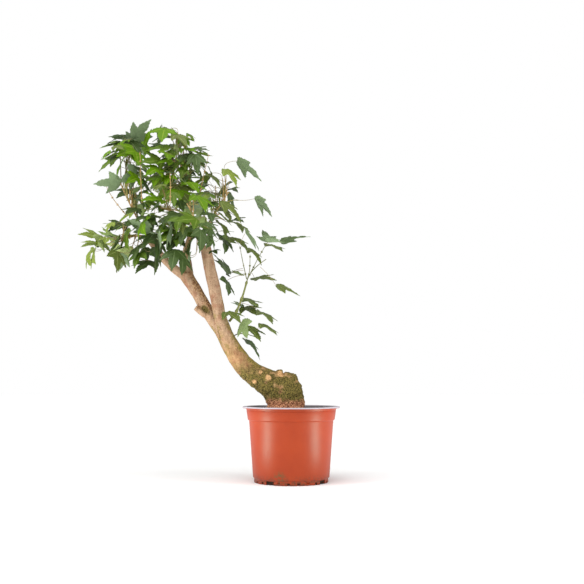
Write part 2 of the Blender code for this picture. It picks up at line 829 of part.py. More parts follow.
def astray(rng):
    """A random offset, up to one each way along each axis."""
    return Vector([rng.uniform(-1, 1) for _ in range(3)])


def shoot_targets(name):
    """Where the shoots of a mass aim: its leaders, then points spread evenly over its space."""
    mass = MASSES[name]
    rng = random.Random(name)
    middle = Vector(mass["middle"])
    targets = [Vector(leader) for leader in mass["leaders"]]
    for number in range(mass["fillers"]):
        height = 1 - 2 * (number + 0.5) / mass["fillers"]
        turn = GOLDEN_TURN * number + rng.uniform(-FILLER_STRAY, FILLER_STRAY)
        around = math.sqrt(1 - height * height)
        ray = Vector((around * math.cos(turn), around * math.sin(turn), height))
        targets.append(middle + ray * Vector(mass["reach"]) * rng.uniform(*FILLER_SHARES))
    return sorted(targets, key=lambda target: target.z)


def hang(way, rng):
    """The way a blade points: partly on from its petiole and partly down, as maple leaves hang."""
    level = Vector((way.x, way.y, 0)).normalized()
    heading = level * HANG_ONWARD + DOWN * rng.uniform(*HANG_DOWN) + astray(rng) * HANG_STRAY
    return heading.normalized()


def leaf_face(heading, rng):
    """The upper side's direction, square to the heading and mostly up and outward."""
    outward_part = Vector((heading.x, heading.y, 0)) * FACE_OUTWARD
    face = UP + outward_part + FRONT * FACE_FRONT + astray(rng) * FACE_STRAY
    return (face - heading * face.dot(heading)).normalized()


class Mass:
    """One mass as it grows: its stem, its shoots, and its leaves on their petioles."""

    def __init__(self, name):
        self.name = name
        self.rng = random.Random(name + " leaves")
        self.leaf_length = LEAF_LENGTH
        self.most_pairs = MOST_PAIRS
        if MASSES[name].get("light"):
            self.leaf_length = LEAF_LENGTH * LIGHT_LEAF
            self.most_pairs = 0
        self.stretches = limbs_to_avoid(name)
        self.stem = stem_path(name)
        self.solids = []
        self.taken = []
        self.add(rod(self.stem, stem_radius(name), TWIG_RADIUS, STEM_SIDES))

    def add(self, solid, shape=None):
        """Keeps a solid, and the shape that later leaves have to keep clear of."""
        self.solids.append(solid)
        self.taken.append(shape or BVHTree.FromPolygons(*solid))

    def has_room(self, points):
        """Whether points are in the mass's space and clear of limbs and other stems."""
        if not all(in_space(point, self.name) for point in points):
            return False
        return clear_of(points, self.stretches, LIMB_CLEARANCE)

    def grow_shoots(self):
        """Grows a shoot towards each target, and returns each one's path with its target."""
        targets = shoot_targets(self.name)
        upper_stem = close_points(self.stem)[BARE_STEM:-1]
        starts = [spot for spot in upper_stem if in_space(spot, self.name)]
        shoots = []
        for number, target in enumerate(targets):
            start = starts[round((number + 0.5) / len(targets) * (len(starts) - 1))]
            level = Vector((target.x - start.x, target.y - start.y, 0))
            half_leaf = self.leaf_length * HALF_LEAF
            inward = min(PETIOLE_LENGTH + half_leaf, level.length * MOST_INWARD)
            end = target + UP * half_leaf - level.normalized() * inward
            pull = (start + end) / 2 + UP * (end - start).length * SHOOT_LIFT
            path = bend(start, pull, end, SHOOT_PARTS)
            if self.has_room(close_points(path)):
                shoots.append((path, target))
                self.add(rod(path, TWIG_RADIUS, TWIG_TIP_RADIUS, TWIG_SIDES))
        return shoots

    def add_leaf(self, root, way, aim=None):
        """Adds a leaf on its petiole, if one of a few tries finds room. It sets off along way,
        and lies about the point that it aims at, if it has one."""
        for attempt in range(TRIES):
            length = self.leaf_length * self.rng.uniform(*LEAF_LENGTHS)
            heading = hang(way, self.rng)
            face = leaf_face(heading, self.rng)
            knee = root + way * PETIOLE_LENGTH * self.rng.uniform(*PETIOLE_LENGTHS)
            if aim and attempt < AIMED_TRIES:
                wander = astray(self.rng) * WANDER * attempt / AIMED_TRIES
                knee = aim + wander - heading * length / 2
            petiole = (knee - root).normalized()
            folds_back = heading.dot(petiole) < LEAST_ONWARD
            if not folds_back and abs(heading.cross(face).dot(petiole)) < MOST_ASIDE:
                solid = leaf_solid([root, knee], heading, face, length)
                off_twig = root + petiole * TWIG_RADIUS * FREE_FROM
                free = BVHTree.FromPolygons(*leaf_solid([off_twig, knee], heading, face, length))
                touching = any(free.overlap(other) for other in self.taken)
                if not touching and self.has_room(spots_on(solid)):
                    self.add(solid, free)
                    return
            way = (way + astray(self.rng) * PAIR_STRAY).normalized()

    def add_end_leaf(self, path, target):
        way = (path[-1] - path[-2]).normalized()
        self.add_leaf(path[-1] - way * SUNK_ROOT, (target - path[-1]).normalized(), target)

    def add_pairs(self, path):
        """Opposite pairs of leaves down a shoot, each pair turned a quarter from the last."""
        length = (path[-1] - path[0]).length
        for pair in range(min(int(length / PAIR_SPACING) + 1, self.most_pairs)):
            share = FIRST_PAIR - pair * PAIR_SPACING / max(length, PAIR_SPACING)
            spot = min(len(path) - 2, max(1, int(share * (len(path) - 1))))
            root = path[spot].lerp(path[spot + 1], 0.5)
            way = (path[spot + 1] - path[spot]).normalized()
            aside = way.orthogonal().normalized()
            other = way.cross(aside)
            turn = pair * math.pi / 2 + self.rng.uniform(-PAIR_STRAY, PAIR_STRAY)
            for half in (0, math.pi):
                spread = aside * math.cos(turn + half) + other * math.sin(turn + half)
                self.add_leaf(root, (way * PAIR_RISE + spread).normalized())


def make_foliage():
    for name in MASSES:
        mass = Mass(name)
        shoots = mass.grow_shoots()
        for path, target in shoots:
            mass.add_end_leaf(path, target)
        for path, _ in shoots:
            mass.add_pairs(path)
        joined(name, mass.solids, "maple leaf")


def main():
    clear_scene()
    make_pot()
    make_soil()
    make_trunk()
    make_limbs()
    make_foliage()


main()
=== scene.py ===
"""The looks of a trident maple with a leaning trunk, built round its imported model.

Lengths are in metres, but the rows that metres() takes and the leaves that lead shoots are given
in millimetres. +Z is up, the tree leans to -X, and its front faces -Y. Finer meshes of bark, twigs,
leaves, pot and soil stand for the model's solids, and stay where those are.
"""

import json
import math
import random
from collections import namedtuple

import bmesh
import bpy
import numpy as np
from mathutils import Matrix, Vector, noise
from mathutils.bvhtree import BVHTree

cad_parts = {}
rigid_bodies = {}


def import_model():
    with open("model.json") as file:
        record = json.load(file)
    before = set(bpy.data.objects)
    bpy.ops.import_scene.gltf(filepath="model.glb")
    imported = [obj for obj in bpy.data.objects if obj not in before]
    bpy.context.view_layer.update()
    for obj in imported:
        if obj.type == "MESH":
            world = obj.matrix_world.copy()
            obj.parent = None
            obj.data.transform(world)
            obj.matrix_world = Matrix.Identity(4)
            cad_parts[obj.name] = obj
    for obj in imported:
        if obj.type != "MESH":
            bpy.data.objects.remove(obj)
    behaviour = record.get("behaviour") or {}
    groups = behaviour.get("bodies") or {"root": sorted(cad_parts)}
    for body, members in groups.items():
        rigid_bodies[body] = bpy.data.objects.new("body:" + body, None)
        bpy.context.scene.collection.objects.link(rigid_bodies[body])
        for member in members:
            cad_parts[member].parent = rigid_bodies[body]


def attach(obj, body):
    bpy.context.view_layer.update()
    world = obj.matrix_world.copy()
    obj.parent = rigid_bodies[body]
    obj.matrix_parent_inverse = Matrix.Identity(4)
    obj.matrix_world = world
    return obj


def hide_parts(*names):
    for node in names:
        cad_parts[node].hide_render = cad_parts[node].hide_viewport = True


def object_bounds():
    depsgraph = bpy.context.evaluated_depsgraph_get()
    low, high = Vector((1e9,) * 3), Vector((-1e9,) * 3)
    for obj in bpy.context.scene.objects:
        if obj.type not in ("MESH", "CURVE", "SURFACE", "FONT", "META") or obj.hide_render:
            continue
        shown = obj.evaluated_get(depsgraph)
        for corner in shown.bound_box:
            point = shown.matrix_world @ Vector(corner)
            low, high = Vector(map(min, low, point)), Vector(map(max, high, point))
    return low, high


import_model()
CAD_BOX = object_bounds()


def metres(*rows):
    """Rows of numbers in metres, from rows in millimetres."""
    return [tuple(value / 1000 for value in row) for row in rows]


UP = Vector((0, 0, 1))
FRONT = Vector((0, -1, 0))
FULL_TURN = 2 * math.pi

# Camera, in pixels: the picture's side, the focal length, and how far the picture's middle lies
# above the level line
PICTURE_SIDE = 584
FOCAL_PIXELS = 870
LEVEL_LINE = 85
SENSOR = 36.0
CAMERA_PLACE = (0.0015, -1.715, 0.202)

# Studio: a white surround, a large soft light high in front, and on each side a tall softbox and a
# strip on the floor that the pot's wall mirrors. Their rows hold the turn from the front in
# degrees, distance, height, width, length and power.
AMBIENT_LIGHT = 0.46
SUN_STRENGTH = 2.35
SUN_SOFTNESS = 75
SUN_PLACE = (-0.35, -0.75, 1.3)
SIDE_LIGHTS = {
    "softbox": (63, 2.1, 0.9, 0.45, 1.6, 14),
    "floor_strip": (63, 0.45, 0.003, 0.09, 0.52, 1.55),
}
FLOOR_HALF = 8.0
FLOOR_DROP = 0.0002

# Pot
POT_HEIGHT = 0.145
RIM_RADIUS = 0.095
LIP_THICKNESS = 0.003
COLLAR_TOP_RADIUS = 0.0885
COLLAR_FOOT_RADIUS = 0.0848
COLLAR_FOOT = 0.118
GROOVE_HEIGHT = 0.1378
GROOVE_DEPTH = 0.0006
GROOVE_HALF = 0.0009
WALL_TOP_RADIUS = 0.0822
WALL_FOOT_RADIUS = 0.0742
WALL_FOOT = 0.010
FOOT_RADIUS = 0.0718
STEP_HEIGHT = 0.002
WALL_THICKNESS = 0.0013
FLOOR_THICKNESS = 0.002
COLLAR_LINE = (COLLAR_FOOT_RADIUS, COLLAR_FOOT + STEP_HEIGHT), (COLLAR_TOP_RADIUS, POT_HEIGHT)
# The pot's inside from its floor up: the radius outside the wall, and the height
INSIDE = [
    (FOOT_RADIUS, FLOOR_THICKNESS),
    (FOOT_RADIUS, WALL_FOOT - STEP_HEIGHT + WALL_THICKNESS),
    (WALL_FOOT_RADIUS, WALL_FOOT + WALL_THICKNESS),
    (WALL_TOP_RADIUS, COLLAR_FOOT + WALL_THICKNESS),
    (COLLAR_FOOT_RADIUS, COLLAR_FOOT + STEP_HEIGHT + WALL_THICKNESS),
]
POT_SIDES = 160
POT_BEVEL = 0.0005
NOTCH_TURN = math.radians(-34)
WIDE_NOTCHES = 4
NARROW_BETWEEN = 5
WIDE_NOTCH = (0.0175, 0.0072)
NARROW_NOTCH = (0.0056, 0.0048)
NOTCH_DEPTH = 0.009
CUTTER_MARGIN = 0.001
SMUDGE = (-0.022, -0.0720, 0.015)  # where soil has splashed the pot

# Soil
SOIL_TOP = 0.133
SOIL_CLEARANCE = 0.0005
SOIL_GAP = 0.0003
SOIL_RINGS = 44
SOIL_SIDES = 150
CLODS = 0.0022  # how far the soil's top rises and falls
CRUMBS = 420
CRUMB_SIZES = (0.0006, 0.0026)
CRUMB_SHARES = (0.6, 1.0)
CRUMB_STRETCH = (0.7, 1.8), (0.6, 1.2), (0.4, 0.8)
CRUMB_CORNERS = (0.75, 1.2)
CRUMB_LIFT = 0.3  # how high a crumb's middle lies above the soil, as a share of its size

# Wood. A station is x, y, z, half width across the picture and half depth along Y.
GAP = 0.0003
STUMP = [(-0.010, 0, SOIL_TOP + GAP, 0.039, 0.038)]
STUMP += metres(
    (-10, 0, 145, 35.5, 35), (-8.5, 0, 165, 33.5, 32), (-5, 0, 190, 25, 24), (-1, 0, 209.5, 11, 12.5)
)
TRUNK = metres(
    (-10, 0, 142, 30, 30), (-26, 0, 177, 30, 30), (-53, 1, 196, 24.5, 26), (-76, 2, 209.5, 21.5, 23),
    (-100, 2, 232, 19, 20.5), (-120, 1, 262, 17, 19.5), (-134, 0, 288, 17.2, 21), (-144, 0, 310, 19, 23.5),
)
LIMBS = {
    "upright_bough": metres(
        (-135.2, -10, 308, 12.2, 12), (-142, -10, 330, 11.9, 11.7), (-151.5, -9, 376, 12.3, 12),
        (-160, -8, 412, 11.9, 11.6), (-170, -7, 460, 10.3, 10.3),
    ),
    "left_bough": metres(
        (-150, 10, 301, 12.2, 12.2), (-165, 11, 330, 12.3, 12), (-188, 12, 370, 12.3, 11.8),
        (-211, 12.5, 405.5, 13.5, 12),
    ),
    "left_limb": metres(
        (-204, 11.5, 396, 10, 10), (-233, 8, 417, 8.5, 8.5), (-256, 2, 439, 7.5, 7.5),
        (-282, -6, 473, 5.8, 5.8),
    ),
    "inner_limb": metres(
        (-203, 13.5, 396, 9, 9), (-207.5, 15, 434, 7, 7), (-211, 16, 456, 6.2, 6.2), (-202, 14, 487, 5, 5)
    ),
    "side_shoot": metres(
        (-122.5, -2, 311, 2.6, 2.6), (-109, -4, 329, 2.2, 2.2), (-96.5, -3, 360, 1.9, 1.9),
        (-88, 0, 391, 1.7, 1.7),
    ),
}
# Short stubs where boughs were cut: the foot and the end, each with its radius
STUBS = [
    metres((-22.5, -4, 198, 8.5), (-24, -10, 215, 6.8)),
    metres((-44, -10, 193, 7.5), (-44.2, -27.5, 201, 6.5)),
    metres((-70, -10, 193, 4), (-71.2, -22.5, 192.5, 3.4)),
    metres((-136, -6, 290, 5), (-138.5, -22.5, 293.5, 3)),
    metres((-170, 6, 326, 8.5), (-190, 2, 338.5, 5.2)),
]
# Under the fork the skin is two boughs grown together. These stations take the place of each
# bough's first one.
FUSED = {
    "left_bough": metres(
        (-90, 1, 221.5, 20, 21), (-106, 2, 240, 18, 20), (-120.5, 4, 262, 15.8, 18.5),
        (-133, 7, 283, 13.8, 16), (-146, 10, 302, 12.4, 13.5),
    ),
    "upright_bough": metres(
        (-96, -1, 233, 17, 19), (-111, -4, 253, 16, 17), (-120.5, -8, 270, 14.6, 14.5),
        (-127.8, -11, 286.3, 13.2, 13.2), (-134.5, -11, 305, 12.3, 12.3),
    ),
}
FUSED_FROM = 5  # stations of the trunk below the fork
# The crease where the fused boughs meet is painted darker between these heights, as painted shade.
SEAM = (0.262, 0.345)
SEAM_WIDTH = 0.0016
SEAM_ENDS = 0.02  # along which the seam fades
SEAM_SHADE = 0.75
BOUGH_DIVIDE = -0.1595
# The hollow is mossy and sunk into the bark, and painted darker inside as painted shade.
HOLLOW = Vector((-0.1700, 0.0000, 0.3345))  # a mossy hollow above the broken stub
# Cut and broken places: the way they face, then their middle, their radius and how far the bark
# swells round them
SCARS = [
    ((-0.15, -0.80, 0.60), *metres((-21.2, -15, 208.5, 6.6, 0.6))),
    ((-0.05, -1.00, 0.20), *metres((-44.2, -27, 201, 5.6, 1.4))),
    ((-0.10, -0.90, 0.45), *metres((-60, -23, 212, 4, 1.6))),
    ((-0.10, -1.00, 0.00), *metres((-71.2, -22.5, 192.5, 3.1, 1))),
    ((-0.20, -1.00, 0.10), *metres((-138.5, -22.5, 293.5, 1.4, 1))),
    ((0.00, -1.00, 0.10), *metres((-108, -20, 258, 1.6, 0.9))),
    ((-0.90, -0.20, 0.30), *metres((-190.5, 4, 339.5, 3.4, 0.4))),
]
WOOD_SIDES = 40
WOOD_STEP = 0.004
STUB_SIDES = 20
WOOD_GRAIN = 0.00103  # size of the faces of the bark
SOFTENED = 3  # rounds of smoothing where the limbs meet
# Bark tones run between these heights: moss on the base, a flaky crust at the soil and pink above
MOSS_TOP = (0.238, 0.204)
MOSS_SIDE = (-0.124, -0.094)
CRUST_TOP = (0.162, 0.152)
PINK_FROM = (0.235, 0.300)

# Foliage. Each mass grows from one limb's tip, or from the trunk's side, into its own space about
# its middle. Fillers are shoots spread evenly. A leaf that leads a shoot has the x, y and z of its
# middle in millimetres, the way it points in the picture in degrees up from the right, its length
# there, and how many hundredths of its breadth the picture shows, below 0 for the underside.
Space = namedtuple("Space", "limb middle reach fillers leaders light", defaults=({}, False))
MASSES = {
    "low_left_foliage": Space("left_limb", (-0.342, -0.010, 0.468), (0.100, 0.105, 0.085), 1, {
        "lime": [
            (-395, -15, 483, 165, 31, 50), (-370, -35, 458, -81, 44, -70), (-401, -5, 462, -151, 29, 50),
            (-404, 10, 439, -82, 37, 35), (-388, -20, 439, -82, 36, 15),
        ],
        "olive": [(-336, -45, 424, -82, 45, 70)],
        "green": [
            (-365, 10, 490, 130, 29, -50), (-322, -30, 470, -81, 42, 50), (-347, -20, 460, -125, 27, -30),
        ],
        "dark": [
            (-352, 10, 503, -137, 27, 70), (-333, 25, 510, -153, 36, 50), (-303, -35, 443, -95, 36, 60),
            (-291, -20, 422, -137, 32, 60), (-262, -45, 423, -85, 53, 50), (-279, -30, 470, -114, 32, 70),
        ],
    }),
    "upper_left_foliage": Space("left_limb", (-0.345, 0.000, 0.595), (0.100, 0.110, 0.135), 1, {
        "bright": [
            (-325, -35, 639, -136, 35, 50), (-301, -45, 629, -68, 39, 75), (-340, -30, 610, -94, 42, 20),
            (-294, 0, 677, 70, 39, 35), (-304, -35, 582, -141, 22, 60),
        ],
        "green": [
            (-368, 20, 672, -159, 46, 40), (-370, 0, 630, -144, 49, 40), (-309, -30, 569, -161, 19, -60),
        ],
        "dark": [
            (-300, -10, 699, 51, 53, -90), (-360, 0, 657, -162, 53, -38), (-346, 30, 694, 166, 53, -45),
            (-317, -20, 597, -140, 44, -75), (-363, -35, 580, -173, 49, -60), (-336, 10, 573, -143, 27, 60),
            (-326, 40, 694, 145, 26, -50),
        ],
    }),
    "top_foliage": Space("inner_limb", (-0.237, 0.000, 0.638), (0.112, 0.115, 0.100), 2, {
        "bright": [
            (-254, -30, 682, -89, 34, 95), (-240, -60, 630, -65, 24, 70), (-214, -20, 664, -29, 25, 60),
            (-270, -60, 599, -129, 30, 75), (-264, -50, 583, -102, 26, 60),
        ],
        "green": [
            (-238, 0, 690, -55, 35, 40), (-264, -30, 653, -175, 48, 40), (-272, -45, 624, -161, 31, 60),
            (-185, 25, 635, -38, 24, 50),
        ],
        "dark": [
            (-266, 20, 683, -98, 25, 60), (-270, 0, 668, 168, 29, -40), (-184, 10, 662, -9, 39, 25),
            (-201, 15, 651, -48, 31, -40), (-199, -20, 631, -41, 43, 40), (-249, -50, 603, -17, 35, 50),
            (-243, 30, 670, -168, 31, -50),
        ],
    }),
    "middle_foliage": Space("inner_limb", (-0.255, -0.045, 0.530), (0.100, 0.085, 0.110), 2, {
        "bright": [
            (-266, -75, 541, 180, 34, 35), (-288, -60, 489, -77, 28, 50), (-186, -70, 566, -52, 35, 60),
        ],
        "green": [
            (-236, -75, 472, -117, 28, 60), (-214, -80, 462, -106, 34, 70), (-270, -50, 533, 176, 31, 40),
        ],
        "dark": [
            (-225, -85, 506, -151, 32, 60), (-274, -50, 507, -36, 34, 50), (-249, -70, 458, -56, 35, -40),
            (-314, -30, 526, -131, 26, 60), (-264, -60, 529, -139, 18, -50), (-249, -50, 507, -148, 23, -50),
            (-232, -90, 461, -104, 51, -30), (-257, -55, 449, -78, 40, 60),
        ],
    }),
    "upper_right_foliage": Space("upright_bough", (-0.125, -0.005, 0.570), (0.110, 0.095, 0.110), 0, {
        "lime": [(-120, -20, 597, -50, 47, 45)],
        "green": [(-159, -30, 557, -45, 31, 35)],
        "dark": [
            (-139, 20, 580, -94, 27, 50), (-116, 20, 581, -27, 18, 40), (-82, -15, 611, -37, 65, -45),
            (-53, -5, 540, -39, 54, -50), (-153, -40, 536, -23, 30, 50), (-154, 0, 502, -51, 26, -30),
            (-106, 10, 516, -20, 24, 40), (-130, 0, 465, -68, 33, 45),
        ],
        "olive": [
            (-138, -20, 515, -45, 31, 40), (-152, -10, 593, -49, 43, 30), (-114, -40, 526, -36, 58, 35),
            (-129, 20, 532, -47, 39, 25), (-132, -10, 493, -57, 41, 25), (-106, 30, 508, -43, 33, 20),
            (-153, 0, 568, -35, 25, 15),
        ],
    }),
    "right_foliage": Space("side_shoot", (-0.050, 0.000, 0.435), (0.110, 0.085, 0.110), 0, {
        "olive": [
            (-52, 20, 401, -3, 46, 20), (-103, 0, 469, -32, 49, 20), (-71, 15, 447, -40, 47, 20),
            (-109, 20, 412, 143, 20, -35), (-30, 10, 461, -34, 36, 20), (-5, 0, 373, -20, 53, 35),
        ],
        "dark": [
            (8, 10, 481, 23, 61, 33), (-72, -25, 469, -42, 50, -38), (-136, 0, 426, 131, 55, 22),
            (-139, 30, 425, 128, 36, 15), (-51, -10, 481, 114, 24, -80), (-32, -40, 468, 14, 24, -50),
            (-127, 10, 378, -80, 35, 50),
        ],
    }, light=True),
    "side_shoot_foliage": Space("trunk", (-0.070, -0.005, 0.280), (0.085, 0.080, 0.085), 0, {
        "olive": [
            (-79, 10, 350, -33, 40, 25), (-82, 20, 335, -30, 32, 55), (-48, 10, 321, -41, 37, 25),
            (-43, -10, 295, -37, 42, 25), (-111, -35, 320, -29, 36, 42), (-89, -30, 291, -63, 39, -80),
            (-72, -10, 288, -47, 43, 50),
        ],
        "dark": [(-73, 10, 260, -42, 51, 22), (-108, 30, 351, 126, 17, -50)],
    }, light=True),
    "back_left_foliage": Space("inner_limb", (-0.285, 0.100, 0.560), (0.110, 0.085, 0.120), 7),
    "back_right_foliage": Space("upright_bough", (-0.150, 0.095, 0.545), (0.110, 0.085, 0.110), 6),
    "front_foliage": Space("upright_bough", (-0.195, -0.110, 0.525), (0.105, 0.080, 0.110), 1, {
        "bright": [(-166, -112, 522, -54, 42, 40)],
        "green": [(-193, -135, 491, -168, 36, 60)],
        "dark": [
            (-163, -155, 448, -83, 46, 55), (-157, -60, 465, -84, 37, 45), (-156, -40, 468, -41, 21, 50),
            (-223, -80, 426, -92, 40, 100), (-207, -60, 417, -81, 41, 70), (-197, -30, 429, -41, 18, -80),
            (-152, -20, 445, -34, 14, 60), (-206, -85, 469, -103, 41, 70), (-200, -45, 454, -100, 42, 60),
            (-229, -55, 455, -110, 37, 80),
        ],
    }),
}
# The dense part of the crown as the front shows it: height, left edge and right edge. Only the
# leaves that lead their shoots reach beyond it.
CROWN_EDGE = metres(
    (400, -335, -120), (417, -350, -115), (454, -408, -98), (494, -400, -82), (514, -348, -90),
    (534, -330, -104), (575, -338, -125), (595, -365, -138), (616, -388, -150), (657, -385, -160),
    (690, -360, -205), (715, -335, -240),
)
# Gaps in the crown where the front shows the sky: x, z and radius
SKY_GAPS = metres(
    (-332, 624, 14), (-325, 544, 10), (-289, 677, 8), (-163, 575, 10), (-138, 454, 14), (-114, 502, 12),
    (-193, 448, 14), (-311, 452, 8), (-322, 494, 6), (-128, 532, 8), (-178, 690, 14), (-309, 478, 6),
)
# Twigs that the front shows, each from its foot to its tip: dry ones in the crown, then green
# ones on the side shoot
DRY_TWIGS = [
    metres((-180.6, -20, 562.5), (-174, -20, 598.8), (-164.5, -20, 641.3)),
    metres((-325.2, -15, 519.3), (-351.6, -15, 551.5), (-369.1, -15, 581.7)),
    metres((-155.5, -12, 552.1), (-135.6, -12, 545), (-124, -12, 588.5)),
    metres((-204.4, -40, 435.9), (-202.7, -40, 457.5), (-193.4, -40, 494.9)),
    metres((-228.3, -100, 528.3), (-227.8, -100, 557), (-229.1, -100, 585.8)),
    metres((-183.6, -110, 499.7), (-182.9, -110, 520.5), (-184, -110, 539.6)),
    metres((-289.8, -50, 538.4), (-292.4, -50, 575.9), (-295.5, -50, 639.5)),
]
GREEN_TWIGS = [
    metres((-87, 0, 395), (-64.1, -3, 439.5), (-45.5, -4, 471)),
    metres((-88.5, 0, 395), (-97.5, -3, 436), (-102.2, -4, 461.5)),
    metres((-87, 0, 395), (-82.5, -5, 412), (-81.5, -6, 443.5)),
]
LIMB_CLEARANCE = 0.003  # from leaves to limbs and to stems
LEADER_CLEARANCE = 0.001
GOLDEN_TURN = math.pi * (3 - math.sqrt(5))
FILLER_STRAY = 0.4
FILLER_SHARES = (0.50, 0.72)

# Stems, shoots and twigs
SIDE_TWIG_ROOT = 0.86  # share of the trunk's length at which the low side twig leaves it
LIMB_RINGS = 0.018  # spacing of the rings that the stems' places are worked out from
STEM_RADIUS = 0.0024
SIDE_NODES = (0.30, 0.58, 0.94)  # shares of the side shoot's length where it is swollen
SIDE_NODE_HALF = 0.035
SIDE_NODE_SWELL = 0.7
SIDE_STEP = 0.003
SIDE_SIDES = 12
LIGHT_STEM = (0.0011, 0.0007)
SHARED_TIP = 0.36
TIP_SPREAD = 0.92
SET_OFF = 0.004
STEM_PULL = 0.35
STEM_PARTS = 18
BARE_STEM = 0.42  # share of a stem, from its root, where no shoot starts
STEM_SIDES = 8
SHOOT_RADII = (0.0012, 0.0008)
SHOOT_SIDES = 6
SHOOT_PARTS = 10
SHOOT_LIFT = 0.26
WOODY_SHARE = 0.3
MOST_INWARD = 0.6
ONWARD = 0.6  # how far an end leaf points on with its shoot, against straight outward
LIGHT_SHOOT = (0.1, 0.001)  # the start of a light mass's leaf: its share of the way, and its rise
NODE_SPACING = 0.021
FIRST_NODES = (0.15, 0.5)  # from a shoot's tip to its first node, as shares of the spacing
NODE_STEPS = (0.8, 1.25)
BARE_SHOOT = 0.30
NODE_HALF = 0.02
NODE_SWELL = 1.35  # a shoot's radius at a node, where leaves grow, as a share of the rest
LEAF_SHARE = 0.56  # of the places at the nodes, those that carry something
TWIG_SHARE = 0.26  # of these, the ones where a twig grows
TWIG_LENGTHS = (0.022, 0.042)
TWIG_RADII = (0.0009, 0.0006)
TWIG_PARTS = 4
TWIG_RISE = 0.5
TWIG_STEP = 0.004
DRY_RADII = (0.0010, 0.0005)
BUD_RADII = (0.0008, 0.0009, 0.0002)
BUD_LENGTHS = (0.0016, 0.0018)
BUD_STEPS = (3, 4)  # steps along a twig to its first pair of buds, and on to each next one
BUD_SIDES = 5
PETIOLE_LENGTH = 0.032
PETIOLE_LENGTHS = (0.60, 1.30)
PETIOLE_RADII = (0.00055, 0.00040)
PETIOLE_PARTS = 6
PETIOLE_SIDES = 4
PAIR_RISE = 0.6
STRAY = 0.5
# The crown's wood: each piece's material with its dark and its light tone
TWIGS = {
    "woody_stems": ("woody_twig", (148, 120, 72), (202, 168, 114)),
    "green_shoots": ("green_shoot", (116, 120, 54), (174, 160, 94)),
    "side_twigs": ("side_twig", (84, 94, 46), (132, 130, 76)),
    "petioles": ("petiole", (136, 122, 84), (172, 156, 108)),
}

# Leaves
LEAF_LENGTH = 0.052
LEAF_LENGTHS = (0.50, 0.96)
LEADER_LENGTHS = (0.95, 1.12)
FORESHORTENED = 1.8  # how much longer than the picture shows it a leading leaf may be
LEAF_THICKNESS = 0.00035
LEAF_VARIANTS = 16
TRIES = 8
LEADER_TRIES = 20
WANDER = (0.010, 0.024, 0.010)  # how far a leading leaf may move to find room
OTHER_TINT = 0.3  # share of the leaves with a tint other than their shoot's
# Half of a blade's outline, in leaf lengths along and aside: round the base and out to the side
# lobe's tip, from the notch out to that tip, and from the notch to the middle lobe's tip
OUTER_MARGIN = [
    (0, 0), (-0.01, 0.08), (0.01, 0.17), (0.075, 0.265), (0.175, 0.37), (0.33, 0.47), (0.54, 0.55)
]
INNER_MARGIN = [(0.43, 0.20), (0.455, 0.29), (0.485, 0.38), (0.51, 0.465), (0.54, 0.55)]
MIDDLE_MARGIN = [(0.43, 0.20), (0.53, 0.20), (0.64, 0.185), (0.75, 0.14), (0.87, 0.065), (1, 0)]
MIDDLE_RIB = [(0, 0), (0.29, 0), (1, 0)]
SIDE_RIB = [(0, 0), (0.17, 0.19), (0.35, 0.37), (0.54, 0.55)]
VEIN = 0.09  # half a rib's width, as a share of the way from it to the margin
WEB_SHARE = 0.40  # of the side rib, up to the web between the lobes
MARGIN_STEP = 0.01
OUTER_PARTS = 11
MIDDLE_PARTS = 9
RIB_PARTS = 30
TEETH = 0.014
RIB_RISE = (0.04, 0.36)  # how steeply the blade stands up beside its ribs
DROOP = (0.0, 0.24)  # how far the tip hangs
SIDE_DROOP = (-0.10, 0.24)  # how far the side lobes hang
LOBE_SHEAR = (-0.32, 0.20)  # side lobes that reach back, or forward
LOBE_SCALE = (0.80, 1.05)
TWIST = 0.16
WAVES = (0.008, 0.020)
# How a leaf hangs and where its upper side faces, as weights
HANG_ONWARD = 0.6
HANG_DOWN = (0.0, 1.0)
HANG_STRAY = 0.5
FACE_OUTWARD = 0.6
FACE_FRONT = 0.2
FACE_STRAY = 0.5
BREADTH_STRAY = 0.05  # how much a leading leaf turns with each try to find room
LEAST_ONWARD = -0.5
# Leaf tints: the upper side, its ribs, the underside, gloss and how often fillers take each
TINTS = {
    "lime": ((128, 146, 58), (166, 180, 106), (156, 172, 108), 0.20, 0.12),
    # The bright tint is a young leaf's yellow-green, brightened as painted light that shines through the
    # leaves.
    "bright": ((94, 132, 10), (130, 156, 46), (136, 160, 70), 0.15, 0.32),
    "green": ((86, 113, 28), (126, 147, 62), (134, 156, 92), 0.22, 0.24),
    "olive": ((98, 112, 49), (140, 152, 86), (126, 144, 94), 0.25, 0.14),
    "dark": ((72, 93, 45), (106, 125, 77), (126, 146, 108), 0.30, 0.20),
}


def srgb(red, green, blue):
    """A colour given from 0 to 255 as it is seen, for a shader."""
    seen = (value / 255 for value in (red, green, blue))
    lit = (value / 12.92 if value < 0.04045 else ((value + 0.055) / 1.055) ** 2.4 for value in seen)
    return (*lit, 1.0)


def node(tree, kind, output, inputs=None, **settings):
    """An output of a new shader node, whose inputs are values or other nodes' outputs."""
    made = tree.nodes.new("ShaderNode" + kind)
    for name, value in settings.items():
        setattr(made, name, value)
    for name, value in (inputs or {}).items():
        if isinstance(value, bpy.types.NodeSocket):
            tree.links.new(value, made.inputs[name])
        else:
            made.inputs[name].default_value = value
    return made.outputs[output]


